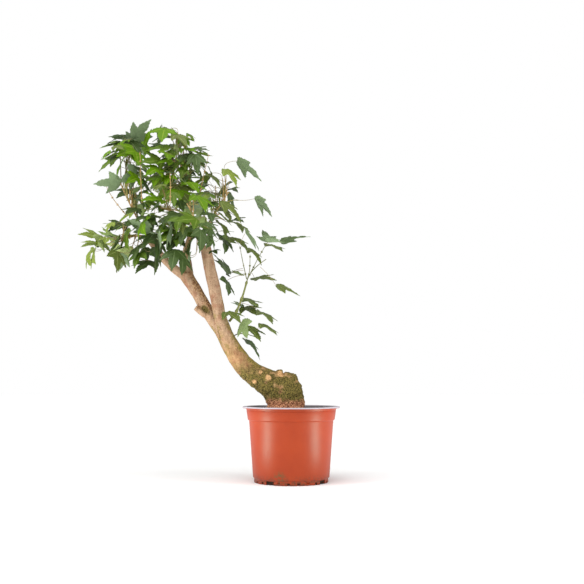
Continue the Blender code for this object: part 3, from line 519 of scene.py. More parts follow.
class Finish:
    """A material while its nodes are made."""

    def __init__(self, name, roughness, specular=0.4):
        self.made = bpy.data.materials.new(name)
        self.made.use_nodes = True
        self.inputs = self.made.node_tree.nodes["Principled BSDF"].inputs
        self.inputs["Roughness"].default_value = roughness
        self.inputs["Specular IOR Level"].default_value = specular

    def node(self, *details, **settings):
        return node(self.made.node_tree, *details, **settings)

    def link(self, value, name):
        self.made.node_tree.links.new(value, self.inputs[name])

    def place(self, axis=None):
        place = self.node("TexCoord", "Object")
        return self.node("SeparateXYZ", axis, {"Vector": place}) if axis else place

    def noise(self, scale, detail=4.0, roughness=0.6, stretch=None):
        place = self.place()
        if stretch:
            place = self.node("Mapping", "Vector", {"Vector": place, "Scale": stretch})
        inputs = {"Vector": place, "Scale": scale, "Detail": detail, "Roughness": roughness}
        return self.node("TexNoise", "Fac", inputs)

    def ramp(self, value, low, high, start=0.0, end=1.0):
        """A value spread from a start at low to an end at high, and held there outside."""
        inputs = {"Value": value, "From Min": low, "From Max": high, "To Min": start, "To Max": end}
        return self.node("MapRange", "Result", inputs)

    def mixed(self, share, first, second, blend="MIX"):
        inputs = {"Fac": share, "Color1": first, "Color2": second}
        return self.node("MixRGB", "Color", inputs, blend_type=blend)

    def tones(self, value, low, high, dark, light):
        """A colour that turns from dark to light while a value runs from low to high."""
        return self.mixed(self.ramp(value, low, high), srgb(*dark), srgb(*light))

    def product(self, *factors):
        result = factors[0]
        for factor in factors[1:]:
            result = self.node("Math", "Value", {0: result, 1: factor}, operation="MULTIPLY")
        return result

    def mask(self, name):
        return self.node("Attribute", "Fac", attribute_name=name)

    def bumped(self, height, strength, distance):
        inputs = {"Height": height, "Strength": strength, "Distance": distance}
        self.link(self.node("Bump", "Normal", inputs), "Normal")
        return self.made


def bark_material():
    bark = Finish("bark", 0.8, 0.2)
    streaks = bark.noise(150.0, stretch=(1.0, 1.0, 0.25))
    specks = bark.noise(520.0, 3.0)
    colour = bark.tones(streaks, 0.35, 0.66, (142, 112, 70), (186, 148, 106))
    for share, layer in (
        (bark.mask("pink"), bark.tones(streaks, 0.30, 0.72, (152, 122, 96), (196, 164, 134))),
        (bark.ramp(bark.noise(60.0), 0.50, 0.66, end=0.55), srgb(146, 92, 68)),
        (bark.mask("rust"), bark.tones(bark.noise(260.0, 3.0), 0.42, 0.62, (146, 106, 74), (208, 172, 130))),
        (bark.mask("olive"), bark.tones(specks, 0.38, 0.62, (92, 84, 36), (164, 142, 74))),
        (bark.mask("moss"), bark.tones(specks, 0.40, 0.60, (48, 46, 18), (130, 114, 56))),
        (bark.mask("crust"), bark.tones(specks, 0.40, 0.60, (104, 54, 34), (216, 156, 116))),
        # The dark mask is painted shade: in the base's pits, in the hollow and along the crease between the
        # boughs.
        (bark.mask("dark"), srgb(40, 30, 16)),
        (bark.mask("scar"), bark.tones(specks, 0.35, 0.60, (176, 132, 84), (212, 172, 122))),
    ):
        colour = bark.mixed(share, colour, layer)
    fleck = bark.tones(specks, 0.28, 0.46, (150, 132, 112), (255, 255, 255))
    bark.link(bark.mixed(0.8, colour, fleck, "MULTIPLY"), "Base Color")
    both = bark.node("Math", "Value", {0: specks, 1: streaks}, operation="ADD")
    return bark.bumped(both, 0.6, 0.0008)


def pot_materials():
    """The pot's outer plastic, stained at its foot and scuffed at its back, and its grey inside, with
    painted shade below the lip.
    """
    outer = Finish("terracotta_plastic", 0.40)
    for name, polished, scuffed in (("Roughness", 0.40, 0.62), ("Specular IOR Level", 0.46, 0.16)):
        outer.link(outer.ramp(outer.place("Y"), -0.03, 0.04, polished, scuffed), name)
    outer.inputs["Specular Tint"].default_value = (0.4, 1.0, 0.85, 1.0)
    dust = outer.noise(240.0, 5.0)
    colour = outer.tones(outer.noise(22.0), 0.30, 0.72, (160, 47, 3), (170, 55, 6))
    low = outer.ramp(outer.place("Z"), 0.020, 0.004)
    apart = {0: outer.place(), 1: SMUDGE}
    near = outer.ramp(outer.node("VectorMath", "Value", apart, operation="DISTANCE"), 0.015, 0.002)
    for share, dusty, stain in ((low, 0.58, (92, 52, 30)), (near, 0.56, (86, 80, 44))):
        spots = outer.product(share, outer.ramp(dust, 0.42, dusty), 0.85)
        colour = outer.mixed(spots, colour, srgb(*stain))
    outer.link(colour, "Base Color")

    inner = Finish("grey_plastic", 0.42, 0.5)
    cloud = inner.noise(120.0)
    lip = inner.mixed(cloud, srgb(166, 158, 166), srgb(196, 188, 196))
    # Below the lip the grey inside is painted darker: painted shade inside the pot.
    painted_inside_shade = inner.mixed(cloud, srgb(64, 56, 54), srgb(100, 92, 92))
    unshaded_lip = inner.ramp(inner.place("Z"), POT_HEIGHT - 0.0030, POT_HEIGHT - 0.0015)
    inner.link(inner.mixed(unshaded_lip, painted_inside_shade, lip), "Base Color")
    return outer.bumped(dust, 0.05, 0.0004), inner.made


def grainy_material(name, surface, grain, low, high, dark, light, bumps):
    """A material with grains of a dark and a light tone."""
    made = Finish(name, *surface)
    grains = made.noise(*grain)
    made.link(made.tones(grains, low, high, dark, light), "Base Color")
    return made.bumped(grains, *bumps)


def soil_material(name, light, dark):
    return grainy_material(name, (0.95, 0.15), (330.0, 5.0, 0.7), 0.38, 0.64, dark, light, (0.8, 0.0012))


def twig_material(name, dark, light):
    return grainy_material(name, (0.6, 0.3), (240.0,), 0.35, 0.65, dark, light, (0.3, 0.0004))


def leaf_material(name, colour, roughness, gloss):
    """A plain tint with a fine leathery surface, so that it stays the same on every leaf."""
    made = Finish(name, roughness, gloss)
    made.inputs["Base Color"].default_value = srgb(*colour)
    return made.bumped(made.noise(900.0, 3.0), 0.25, 0.0003)


def linked(name, data):
    made = bpy.data.objects.new(name, data)
    bpy.context.scene.collection.objects.link(made)
    return made


def new_object(name, vertices, faces, materials, indices=None):
    mesh = bpy.data.meshes.new(name)
    mesh.from_pydata([tuple(vertex) for vertex in vertices], [], faces)
    for finish in materials:
        mesh.materials.append(finish)
    if indices is not None:
        mesh.polygons.foreach_set("material_index", indices)
    mesh.update()
    return linked(name, mesh)


def modify(thing, name, kind, **settings):
    modifier = thing.modifiers.new(name, kind)
    for setting, value in settings.items():
        setattr(modifier, setting, value)


def apply_modifiers(thing):
    bpy.context.view_layer.update()
    graph = bpy.context.evaluated_depsgraph_get()
    mesh = bpy.data.meshes.new_from_object(thing.evaluated_get(graph))
    thing.modifiers.clear()
    thing.data = mesh


def keep(piece, slot, *nodes, sharp=None):
    """Makes a piece part of the object, in the place of the model's nodes. Its edges look sharp
    from the given angle on."""
    if sharp is not None:
        piece.data.shade_smooth()
        piece.data.set_sharp_from_angle(angle=math.radians(sharp))
    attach(piece, "root")
    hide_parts(*nodes)


def smoothstep(value, low, high):
    share = min(1.0, max(0.0, (value - low) / (high - low)))
    return share * share * (3 - 2 * share)


def between(height, low, high):
    """A radius at a height, on the straight line between two (radius, height) points."""
    share = (height - low[1]) / (high[1] - low[1])
    return low[0] + (high[0] - low[0]) * share


def around(sides):
    """The cosine and sine of each corner of a ring."""
    turns = [FULL_TURN * side / sides for side in range(sides)]
    return [(math.cos(turn), math.sin(turn)) for turn in turns]


def outward(turn):
    """The way out from the middle, turned from the front."""
    return Vector((math.sin(turn), -math.cos(turn), 0))


def turned(profile, sides):
    """A closed turned solid from (radius, height) points: up its outer side, from axis to axis."""
    vertices = [Vector((0, 0, profile[0][1])), Vector((0, 0, profile[-1][1]))]
    for radius, height in profile[1:-1]:
        vertices += [Vector((radius * cosine, radius * sine, height)) for cosine, sine in around(sides)]
    last = len(vertices) - sides
    faces = []
    for side in range(sides):
        after = (side + 1) % sides
        faces.append((0, 2 + after, 2 + side))
        faces.append((1, last + side, last + after))
        for low in range(2, last, sides):
            faces.append((low + side, low + after, low + sides + after, low + sides + side))
    return vertices, faces


def box(middle, turn, size):
    """A box about its middle, turned about Z: size is along the radius, across it and up."""
    across = Vector((math.cos(turn), math.sin(turn), 0))
    ends = (-0.5, 0.5)
    vertices = [
        middle + outward(turn) * along * size[0] + across * side * size[1] + UP * up * size[2]
        for along in ends for side in ends for up in ends
    ]
    faces = [(1, 3, 2, 0), (5, 7, 6, 4), (1, 5, 4, 0), (6, 7, 3, 2), (4, 6, 2, 0), (3, 7, 5, 1)]
    return vertices, faces


def make_pot():
    """The pot: a turned shell with a lip, a collar, a tapering wall and a notched foot."""
    under_lip = POT_HEIGHT - LIP_THICKNESS
    profile = [
        (0, 0),
        (FOOT_RADIUS, 0),
        (FOOT_RADIUS, WALL_FOOT - STEP_HEIGHT),
        (WALL_FOOT_RADIUS, WALL_FOOT),
        (WALL_TOP_RADIUS, COLLAR_FOOT),
        COLLAR_LINE[0],
    ]
    low, high = GROOVE_HEIGHT - GROOVE_HALF, GROOVE_HEIGHT + GROOVE_HALF
    for height, depth in ((low, 0), (GROOVE_HEIGHT, GROOVE_DEPTH), (high, 0), (under_lip, 0)):
        profile.append((between(height, *COLLAR_LINE) - depth, height))
    profile += [
        (RIM_RADIUS, under_lip),
        (RIM_RADIUS, POT_HEIGHT),
        (COLLAR_TOP_RADIUS - WALL_THICKNESS, POT_HEIGHT),
    ]
    profile += [(radius - WALL_THICKNESS, height) for radius, height in reversed(INSIDE)]
    profile.append((0, FLOOR_THICKNESS))
    pot = new_object("pot_shell", *turned(profile, POT_SIDES), pot_materials())
    modify(pot, "Soft edges", "BEVEL", width=POT_BEVEL, segments=2, limit_method="ANGLE")
    apply_modifiers(pot)

    notches = bpy.data.collections.new("notches")
    bpy.context.scene.collection.children.link(notches)
    places = WIDE_NOTCHES * (NARROW_BETWEEN + 1)
    for place in range(places):
        turn = NOTCH_TURN + FULL_TURN * place / places
        wide = place % (NARROW_BETWEEN + 1) == 0
        width, height = WIDE_NOTCH if wide else NARROW_NOTCH
        depth = (NOTCH_DEPTH if wide else NOTCH_DEPTH / 2) + CUTTER_MARGIN
        middle = outward(turn) * (FOOT_RADIUS + CUTTER_MARGIN - depth / 2)
        cutter = new_object(f"notch_{place}", *box(middle, turn, (depth, width, 2 * height)), [])
        bpy.context.scene.collection.objects.unlink(cutter)
        notches.objects.link(cutter)
    cut = {"operation": "DIFFERENCE", "operand_type": "COLLECTION", "collection": notches}
    modify(pot, "Notches", "BOOLEAN", **cut)
    apply_modifiers(pot)
    for cutter in list(notches.objects):
        bpy.data.objects.remove(cutter, do_unlink=True)
    bpy.data.collections.remove(notches)

    for face in pot.data.polygons:
        middle = face.center
        faces_in = face.normal.x * middle.x + face.normal.y * middle.y < 0
        grey = middle.z > under_lip + POT_BEVEL or (faces_in and middle.z > WALL_FOOT)
        face.material_index = int(grey and math.hypot(middle.x, middle.y) > WALL_FOOT_RADIUS / 2)
    keep(pot, "pot_plastic", "pot", sharp=30)


def soil_height(x, y):
    """The soil's top: clods, a slight fall to the pot's wall, and a rise against the trunk."""
    place = Vector((x, y, 0))
    clods = noise.noise(place * 90) * 0.5 + noise.noise(place * 260) * 0.35
    rise = 0.5 * smoothstep(math.hypot(x - STUMP[0][0], y), 0.060, 0.040)
    return SOIL_TOP + CLODS * (clods + rise - 0.35)


def make_soil():
    """The soil: a closed body with clods on its top, and loose crumbs that lie on it."""
    clear = WALL_THICKNESS + SOIL_CLEARANCE
    edge = between(SOIL_TOP, *COLLAR_LINE) - clear
    profile = [(0, FLOOR_THICKNESS + SOIL_GAP)]
    profile += [(radius - clear, height + SOIL_GAP) for radius, height in INSIDE]
    profile += [(edge * (1 - ring / SOIL_RINGS), SOIL_TOP) for ring in range(SOIL_RINGS + 1)]
    vertices, faces = turned(profile, SOIL_SIDES)
    for vertex in vertices:
        if vertex.z > SOIL_TOP - SOIL_GAP:
            vertex.z = soil_height(vertex.x, vertex.y)
    earth = soil_material("soil", (74, 54, 38), (26, 18, 13))
    keep(new_object("soil_body", vertices, faces, [earth]), "potting_soil", "soil", sharp=60)

    rng = random.Random("crumbs")
    shape = bmesh.new()
    bmesh.ops.create_icosphere(shape, subdivisions=1, radius=1.0)
    ball = [vertex.co.copy() for vertex in shape.verts]
    ball_faces = [tuple(vertex.index for vertex in face.verts) for face in shape.faces]
    shape.free()
    crumbs = []
    for _ in range(CRUMBS):
        turn = rng.uniform(0, FULL_TURN)
        radius = (edge - CRUMB_SIZES[1]) * math.sqrt(rng.random())
        x = radius * math.cos(turn)
        y = radius * math.sin(turn)
        size = rng.uniform(*CRUMB_SIZES) * rng.uniform(*CRUMB_SHARES)
        stretch = Vector([rng.uniform(*limits) for limits in CRUMB_STRETCH])
        cosine, sine = math.cos(3 * turn), math.sin(3 * turn)
        middle = Vector((x, y, soil_height(x, y) + size * CRUMB_LIFT))
        corners = []
        for corner in ball:
            point = Vector(corner * stretch) * size * rng.uniform(*CRUMB_CORNERS)
            spun = (point.x * cosine - point.y * sine, point.x * sine + point.y * cosine, point.z)
            corners.append(middle + Vector(spun))
        crumbs.append((corners, ball_faces))
    chips = soil_material("crumbs", (112, 84, 60), (40, 28, 20))
    keep(new_object("soil_crumbs", *gathered(crumbs), [chips]), "potting_soil", "soil")


def smooth_stations(stations, step):
    """Stations about a step apart on a smooth curve through the given ones."""
    ends = [stations[0], *stations, stations[-1]]
    result = []
    for before, start, end, after in zip(ends, ends[1:], ends[2:], ends[3:]):
        parts = max(1, round(math.dist(start[:3], end[:3]) / step))
        for t in (part / parts for part in range(parts)):
            result.append(tuple(
                0.5 * (2 * b + (c - a) * t + (2 * a - 5 * b + 4 * c - d) * t * t
                       + (3 * b - a - 3 * c + d) * t * t * t)
                for a, b, c, d in zip(before, start, end, after)
            ))
    return result + [tuple(stations[-1])]


def directions(points):
    """The unit direction of a path at each of its points."""
    ends = [points[0], *points, points[-1]]
    return [(after - before).normalized() for before, after in zip(ends, ends[2:])]


def ring_faces(rings, sides):
    """Faces of a closed tube whose rings turn from their first axis to their second."""
    last = (rings - 1) * sides
    faces = [tuple(reversed(range(sides)))]
    for low in range(0, last, sides):
        for side in range(sides):
            after = (side + 1) % sides
            faces.append((low + side, low + after, low + sides + after, low + sides + side))
    return faces + [tuple(range(last, last + sides))]


def limb(stations):
    """A closed tapering limb through its stations."""
    smooth = smooth_stations(stations, WOOD_STEP)
    points = [Vector(station[:3]) for station in smooth]
    vertices = []
    for point, way, station in zip(points, directions(points), smooth):
        across = Vector((way.z, 0, -way.x)).normalized()
        depth = way.cross(across).normalized()
        for cosine, sine in around(WOOD_SIDES):
            vertices.append(point + across * cosine * station[3] + depth * sine * station[4])
    return vertices, ring_faces(len(points), WOOD_SIDES)


def rod(points, radii, sides):
    """A closed round rod along a path, with its radius at each point."""
    aside = (points[1] - points[0]).orthogonal().normalized()
    vertices = []
    for point, way, radius in zip(points, directions(points), radii):
        aside = (aside - way * aside.dot(way)).normalized()
        other = way.cross(aside)
        vertices += [point + (aside * cosine + other * sine) * radius for cosine, sine in around(sides)]
    return vertices, ring_faces(len(points), sides)


def tapered(radii, count):
    """Radii that run evenly from the first to the second, one for each point of a path."""
    return [radii[0] + (radii[1] - radii[0]) * number / (count - 1) for number in range(count)]


def gathered(solids):
    """Several solids as the vertices and faces of one mesh."""
    vertices = []
    faces = []
    for solid_vertices, solid_faces in solids:
        first = len(vertices)
        vertices += solid_vertices
        faces += [tuple(first + corner for corner in face) for face in solid_faces]
    return vertices, faces


def bark_relief(place, normal):
    """How far the bark stands out at a place, and its tones there."""
    border = noise.noise(place * 70) * 0.010 + noise.noise(place * 190) * 0.006
    base = smoothstep(place.z + border, *MOSS_TOP) * smoothstep(place.x + border, *MOSS_SIDE)
    crust = smoothstep(place.z + noise.noise(place * 160) * 0.006, *CRUST_TOP)
    lumps = noise.noise(place * 48) * 0.0030 + noise.noise(place * 105) * 0.0022
    pits = noise.noise(place * 240) * 0.0012
    flakes = noise.noise(place * 420) * 0.0011
    long_grain = Vector((place.x * 210, place.y * 210, place.z * 40))
    flutes = noise.noise(long_grain) * 0.00030 + noise.noise(place * 60) * 0.0007
    rings = noise.noise(Vector((place.x * 60, place.y * 60, place.z * 330))) * 0.00022
    out = base * (lumps + pits + flakes * 0.4) + crust * flakes + (1 - base) * (flutes + rings)
    patch = noise.fractal(place * 80, 1.0, 2.0, 4)
    # Painted shade: where the bark faces right, it is painted darker olive.
    shaded = normal.x * 0.8 + normal.z * 0.4 + patch * 0.5
    left = -normal.x * 0.8 + patch * 0.6
    # The left bough, to the left of a line between the two, is rusty where it faces right
    divide = BOUGH_DIVIDE - (place.z - SEAM[1]) * 0.40
    left_bough = smoothstep(place.x, divide + 0.002, divide - 0.004) * smoothstep(place.z, 0.325, 0.345)
    apart = place - HOLLOW
    reach = math.hypot(apart.x - apart.z, (apart.x + apart.z) * 2)
    hollow = smoothstep(reach + patch * 0.006, 0.024, 0.006) * smoothstep(apart.y, 0.016, 0.006)
    rusty = normal.x * 0.9 + normal.z * 0.2 + patch * 0.5
    tones = {
        "moss": base * smoothstep(patch, -0.75, -0.15),
        "crust": crust,
        "pink": smoothstep(place.z, *PINK_FROM),
        # Olive is the bark's own green tone on the left sides and in the hollow, and painted shade where the
        # bark faces right.
        "olive": max(
            smoothstep(shaded, 0.25, 0.85) * smoothstep(place.z, 0.345, 0.270),
            smoothstep(left, 0.35, 0.95) * smoothstep(place.z, 0.350, 0.320) * 0.7,
            smoothstep(normal.x, 0.75, 1.0) * smoothstep(place.z, 0.430, 0.350) * 0.5,
            left_bough * smoothstep(left, 0.45, 1.0) * 0.35,
            hollow,
        ),
        "rust": left_bough * smoothstep(rusty, -0.25, 0.5) * smoothstep(place.z, 0.425, 0.385),
        # Painted shade: the dark mask is near-black in the pits of the base's relief and in the hollow.
        "dark": max(base * smoothstep(lumps + pits, -0.0010, -0.0034) * 0.7, hollow * 0.55),
    }
    return out - hollow * 0.0012, tones


def painted_seam_shade(places):
    """How close each place lies to the seam between the two boughs, below their fork, for the painted shade
    along that crease.
    """
    nearest = []
    for name, stations in FUSED.items():
        smooth = np.array(smooth_stations(stations + LIMBS[name][1:3], WOOD_STEP))
        apart = np.linalg.norm(places[:, None, :] - smooth[None, :, :3], axis=2)
        nearest.append((apart - smooth[None, :, 3]).min(axis=1))
    near = np.clip(1 - np.abs(nearest[0] - nearest[1]) / SEAM_WIDTH, 0, 1)
    low, high = SEAM
    return near * np.clip(np.minimum(places[:, 2] - low, high - places[:, 2]) / SEAM_ENDS, 0, 1)


def scarred(place, normal, out, scars):
    """The bark's relief with the scars at a place, and how bare its wood is."""
    bare = 0.0
    for way, middle, radius, swell in scars:
        apart = place - middle
        if apart.length > radius * 2.4 or normal.dot(way) < 0.1:
            continue
        across = (apart - way * apart.dot(way)).length + noise.noise(place * 300) * 0.0012
        inside = smoothstep(across, radius * 1.05, radius * 0.85)
        ring = smoothstep(across, radius * 0.9, radius * 1.15)
        ring *= smoothstep(across, radius * 2.0, radius * 1.2)
        out = out * (1 - 0.85 * inside) + swell * ring
        bare = max(bare, inside)
    return out, bare


def make_bark():
    """The trunk and the boughs as one skin with the bark's relief, and masks for its tones."""
    solids = [limb(STUMP), limb(TRUNK[:FUSED_FROM])]
    boughs = [name for name in LIMBS if name != "side_shoot"]
    for name in boughs:
        stations = LIMBS[name]
        solids.append(limb(FUSED[name] + stations[1:] if name in FUSED else stations))
    for stub in STUBS:
        ends = [Vector(end[:3]) for end in stub]
        solids.append(rod(ends, [end[3] for end in stub], STUB_SIDES))
    bark = new_object("trunk_and_boughs", *gathered(solids), [bark_material()])
    modify(bark, "One skin", "REMESH", mode="VOXEL", voxel_size=WOOD_GRAIN, use_smooth_shade=True)
    modify(bark, "Soft joints", "SMOOTH", factor=0.5, iterations=SOFTENED)
    apply_modifiers(bark)

    mesh = bark.data
    masks = {name: [] for name in ("moss", "crust", "pink", "olive", "rust", "dark", "scar")}
    seams = painted_seam_shade(np.array([tuple(vertex.co) for vertex in mesh.vertices]))
    scars = [(Vector(way).normalized(), Vector(spot[:3]), *spot[3:]) for way, spot in SCARS]
    moves = []
    for vertex, seam in zip(mesh.vertices, seams):
        out, tones = bark_relief(vertex.co, vertex.normal)
        # Painted shade along the crease between the fused boughs.
        tones["dark"] = max(tones["dark"], float(seam) * SEAM_SHADE)
        out, tones["scar"] = scarred(vertex.co, vertex.normal, out, scars)
        if vertex.co.z < SOIL_TOP + 2 * GAP:
            out = 0.0
        moves.append(vertex.normal * out)
        for name, values in masks.items():
            values.append(tones[name])
    for vertex, move in zip(mesh.vertices, moves):
        vertex.co += move
    for name, values in masks.items():
        mesh.attributes.new(name, "FLOAT", "POINT").data.foreach_set("value", values)
    mesh.update()
    keep(bark, "bark", "trunk", *boughs)


def bend(start, pull, end, parts):
    """Points on a curve that leaves its start towards pull and comes to its end."""
    shares = [part / parts for part in range(parts + 1)]
    return [start * (1 - t) ** 2 + pull * 2 * t * (1 - t) + end * t * t for t in shares]


def square_to(way):
    """Two directions square to a way and to each other."""
    aside = way.orthogonal().normalized()
    return aside, way.cross(aside)


def stem_radius(name):
    """A mass's stem, thin enough to share its limb's tip with the others that grow there."""
    grown_from = MASSES[name].limb
    if grown_from == "trunk":
        return STEM_RADIUS
    return min(STEM_RADIUS, LIMBS[grown_from][-1][3] * SHARED_TIP)


def stem_root(name):
    """Where a mass's stem starts and the way it sets off: on a limb's tip or the trunk's side."""
    grown_from = MASSES[name].limb
    if grown_from == "trunk":
        smooth = smooth_stations(TRUNK, LIMB_RINGS)
        number = round(SIDE_TWIG_ROOT * (len(smooth) - 1))
        place, after = (Vector(station[:3]) for station in smooth[number : number + 2])
        way = (after - place).normalized()
        out = Vector((way.z, 0, -way.x)).normalized()
        return place + out * smooth[number][3], out
    stations = LIMBS[grown_from]
    tip = Vector(stations[-1][:3])
    way = (tip - Vector(smooth_stations(stations, LIMB_RINGS)[-2][:3])).normalized()
    aside, other = square_to(way)

    def turn_of(sharer):
        towards = Vector(MASSES[sharer].middle) - tip
        return math.atan2(towards.dot(other), towards.dot(aside))

    sharers = [sharer for sharer in MASSES if MASSES[sharer].limb == grown_from]
    if len(sharers) == 1:
        return tip, way
    sharers.sort(key=turn_of)
    share = FULL_TURN / len(sharers)
    strays = [turn_of(sharer) - share * place for place, sharer in enumerate(sharers)]
    first = math.atan2(sum(map(math.sin, strays)), sum(map(math.cos, strays)))
    turn = first + share * sharers.index(name)
    room = (stations[-1][3] - stem_radius(name)) * TIP_SPREAD
    return tip + (aside * math.cos(turn) + other * math.sin(turn)) * room, way


def stem_path(name):
    """The points of a mass's stem: straight off its limb at first, then curved to its middle."""
    root, way = stem_root(name)
    middle = Vector(MASSES[name].middle)
    start = root + way * SET_OFF
    pull = start + way * (middle - start).length * STEM_PULL
    return [root - way * SET_OFF, root] + bend(start, pull, middle, STEM_PARTS)


def stretches_of_wood():
    """Every limb and stem as straight stretches: starts, runs and radii, as arrays."""
    paths = [STUMP, TRUNK, *LIMBS.values()]
    paths += [[(*point, 0.0) for point in stem_path(name)] for name in MASSES]
    pairs = [pair for path in paths for pair in zip(path, path[1:])]
    starts, ends = (np.array([pair[end][:3] for pair in pairs]) for end in (0, 1))
    return starts, ends - starts, np.array([max(*low[3:], *high[3:]) for low, high in pairs])


def astray(rng):
    """A random offset, up to one each way along each axis."""
    return Vector([rng.uniform(-1, 1) for _ in range(3)])


def resampled(corners, parts):
    """Points spread evenly along the smooth line through the given corners."""
    line = smooth_stations(corners, MARGIN_STEP)
    lengths = [0.0]
    for low, high in zip(line, line[1:]):
        lengths.append(lengths[-1] + math.dist(low, high))
    spots = [lengths[-1] * part / parts for part in range(parts + 1)]
    return list(zip(*(np.interp(spots, lengths, values) for values in zip(*line))))


def toothed(points):
    """A margin with small waves between its ends."""
    result = [points[0]]
    for number in range(1, len(points) - 1):
        before, after = points[number - 1], points[number + 1]
        run = math.dist(before, after)
        reach = TEETH * (1 if number % 2 else -0.7)
        along, aside = points[number]
        along += (after[1] - before[1]) / run * reach
        aside += -(after[0] - before[0]) / run * reach
        result.append((along, aside))
    return result + [points[-1]]


def crossing(start, end, share):
    """The point at a share of the way from one flat point to another."""
    return start[0] + (end[0] - start[0]) * share, start[1] + (end[1] - start[1]) * share


class LeafPlan:
    """A flat leaf: its corners along and aside, its upper faces, which of them are pale ribs, and
    which corners are its rim."""

    def __init__(self):
        self.corners = []
        self.faces = []
        self.pale = []
        self.places = {}
        for side in (1, -1):
            self.add_half(side)
        uses = {}
        for face in self.faces:
            for low, high in zip(face, face[1:] + face[:1]):
                edge = (min(low, high), max(low, high))
                uses[edge] = uses.get(edge, 0) + 1
        self.rim = {corner for edge, count in uses.items() if count == 1 for corner in edge}
        ribs = resampled(MIDDLE_RIB, RIB_PARTS) + resampled(SIDE_RIB, RIB_PARTS)
        ribs += [(along, -aside) for along, aside in ribs]
        self.from_rib = [min(math.dist(corner, rib) for rib in ribs) for corner in self.corners]

    def corner(self, along, aside):
        key = (round(along, 5), round(aside, 5))
        if key not in self.places:
            self.places[key] = len(self.corners)
            self.corners.append((float(along), float(aside)))
        return self.places[key]

    def add_face(self, places, side, pale=False):
        """Triangles that fan out from the first place, turned to face up."""
        numbers = [self.corner(along, aside * side) for along, aside in places]
        corners = list(dict.fromkeys(numbers))
        area = 0.0
        for low, high in zip(corners, corners[1:] + corners[:1]):
            (x, y), (u, v) = self.corners[low], self.corners[high]
            area += x * v - u * y
        first, *others = corners
        for second, third in zip(others, others[1:]):
            self.faces.append((first, second, third) if area > 0 else (first, third, second))
            self.pale.append(pale)

    def add_strip(self, rib, margin, side, shares=(0, VEIN, 0.5, 1)):
        """Rows of faces between a rib and a margin with as many points. The narrow ones are pale."""
        rows = [[crossing(*ends, share) for ends in zip(rib, margin)] for share in shares]
        for number in range(len(shares) - 1):
            upper, lower = rows[number], rows[number + 1]
            pale = shares[number + 1] - shares[number] < 2 * VEIN
            for place in range(len(rib) - 1):
                face = [upper[place], upper[place + 1], lower[place + 1], lower[place]]
                self.add_face(face, side, pale)

    def add_half(self, side):
        side_rib = resampled(SIDE_RIB, OUTER_PARTS)
        web = round(OUTER_PARTS * WEB_SHARE)
        inner = toothed(resampled(INNER_MARGIN, OUTER_PARTS - web))
        lower_rib = resampled(MIDDLE_RIB[:2], web)
        upper_rib = resampled(MIDDLE_RIB[1:], MIDDLE_PARTS)
        self.add_strip(side_rib, toothed(resampled(OUTER_MARGIN, OUTER_PARTS)), side)
        self.add_strip(side_rib[web:], inner, side)
        self.add_strip(upper_rib, toothed(resampled(MIDDLE_MARGIN, MIDDLE_PARTS)), side)
        self.add_strip(lower_rib, side_rib[: web + 1], side, (0, VEIN, 0.5, 1 - VEIN, 1))
        low, high, notch = lower_rib[-1], side_rib[web], inner[0]
        across, up, back = (crossing(*ends, 0.5) for ends in ((low, high), (high, notch), (low, notch)))
        low_vein, high_vein = crossing(low, high, VEIN), crossing(low, high, 1 - VEIN)
        self.add_face([across, up, back], side)
        self.add_face([notch, up, back], side)
        self.add_face([crossing(low, notch, VEIN), low, low_vein, across, back], side)
        self.add_face([high_vein, high, crossing(high, notch, VEIN), up, across], side)


def leaf_variants():
    """Differently curled leaves, as arrays of along, aside and up in leaf lengths, their plan, and
    the underside's faces. It shares the rim with the upper side and lies a thickness lower."""
    plan = LeafPlan()
    rng = random.Random("leaf variants")
    flat = np.array(plan.corners)
    from_rib = np.array(plan.from_rib)
    inner = [number for number in range(len(flat)) if number not in plan.rim]
    under = {number: len(flat) + place for place, number in enumerate(inner)}
    lower_faces = [tuple(under.get(corner, corner) for corner in reversed(face)) for face in plan.faces]
    shapes = []
    for _ in range(LEAF_VARIANTS):
        halves = np.where(flat[:, 1] > 0, rng.uniform(*LOBE_SCALE), rng.uniform(*LOBE_SCALE))
        shears = np.where(flat[:, 1] > 0, rng.uniform(*LOBE_SHEAR), rng.uniform(*LOBE_SHEAR))
        aside = flat[:, 1] * halves
        along = flat[:, 0] + shears * np.abs(flat[:, 1]) * np.clip(1.2 - flat[:, 0], 0, 1)
        up = rng.uniform(*RIB_RISE) * from_rib - rng.uniform(*DROOP) * along * np.abs(along)
        up -= rng.uniform(*SIDE_DROOP) * aside**2
        up += rng.uniform(-TWIST, TWIST) * along * aside * 2
        waves = np.sin(along * 19 + rng.uniform(0, FULL_TURN) + np.sign(aside) * 1.3)
        up += rng.uniform(*WAVES) * waves * np.minimum(1, from_rib * 12)
        top = np.stack([along, aside, up], axis=1)
        bottom = top[inner] - np.array([0, 0, LEAF_THICKNESS / LEAF_LENGTH])
        shapes.append(np.concatenate([top, bottom]))
    return shapes, plan, lower_faces


def coarse_leaf(root, foot, heading, face, length):
    """A leaf and its petiole in a few flat faces, for testing what it would touch."""
    side = face.cross(heading)

    def at(along, aside):
        drop = DROOP[1] / 2 * along * along + SIDE_DROOP[1] / 2 * aside * aside
        return foot + (heading * along + side * aside - face * drop) * length

    corners = ((0.27, 0.0), (0.45, 0.52), (0.36, 0.14), (1.0, 0.0), (0.36, -0.14), (0.45, -0.52))
    vertices = [root, foot, foot + side * PETIOLE_RADII[0] * 2]
    vertices += [at(along, aside) for along, aside in corners]
    return vertices, [(0, 1, 2), (1, 4, 3), (4, 5, 3), (5, 6, 3), (6, 7, 3), (7, 8, 3), (8, 1, 3)]


def middle_and_size(vertices):
    middle = sum(vertices, Vector()) / len(vertices)
    return middle, max((vertex - middle).length for vertex in vertices)


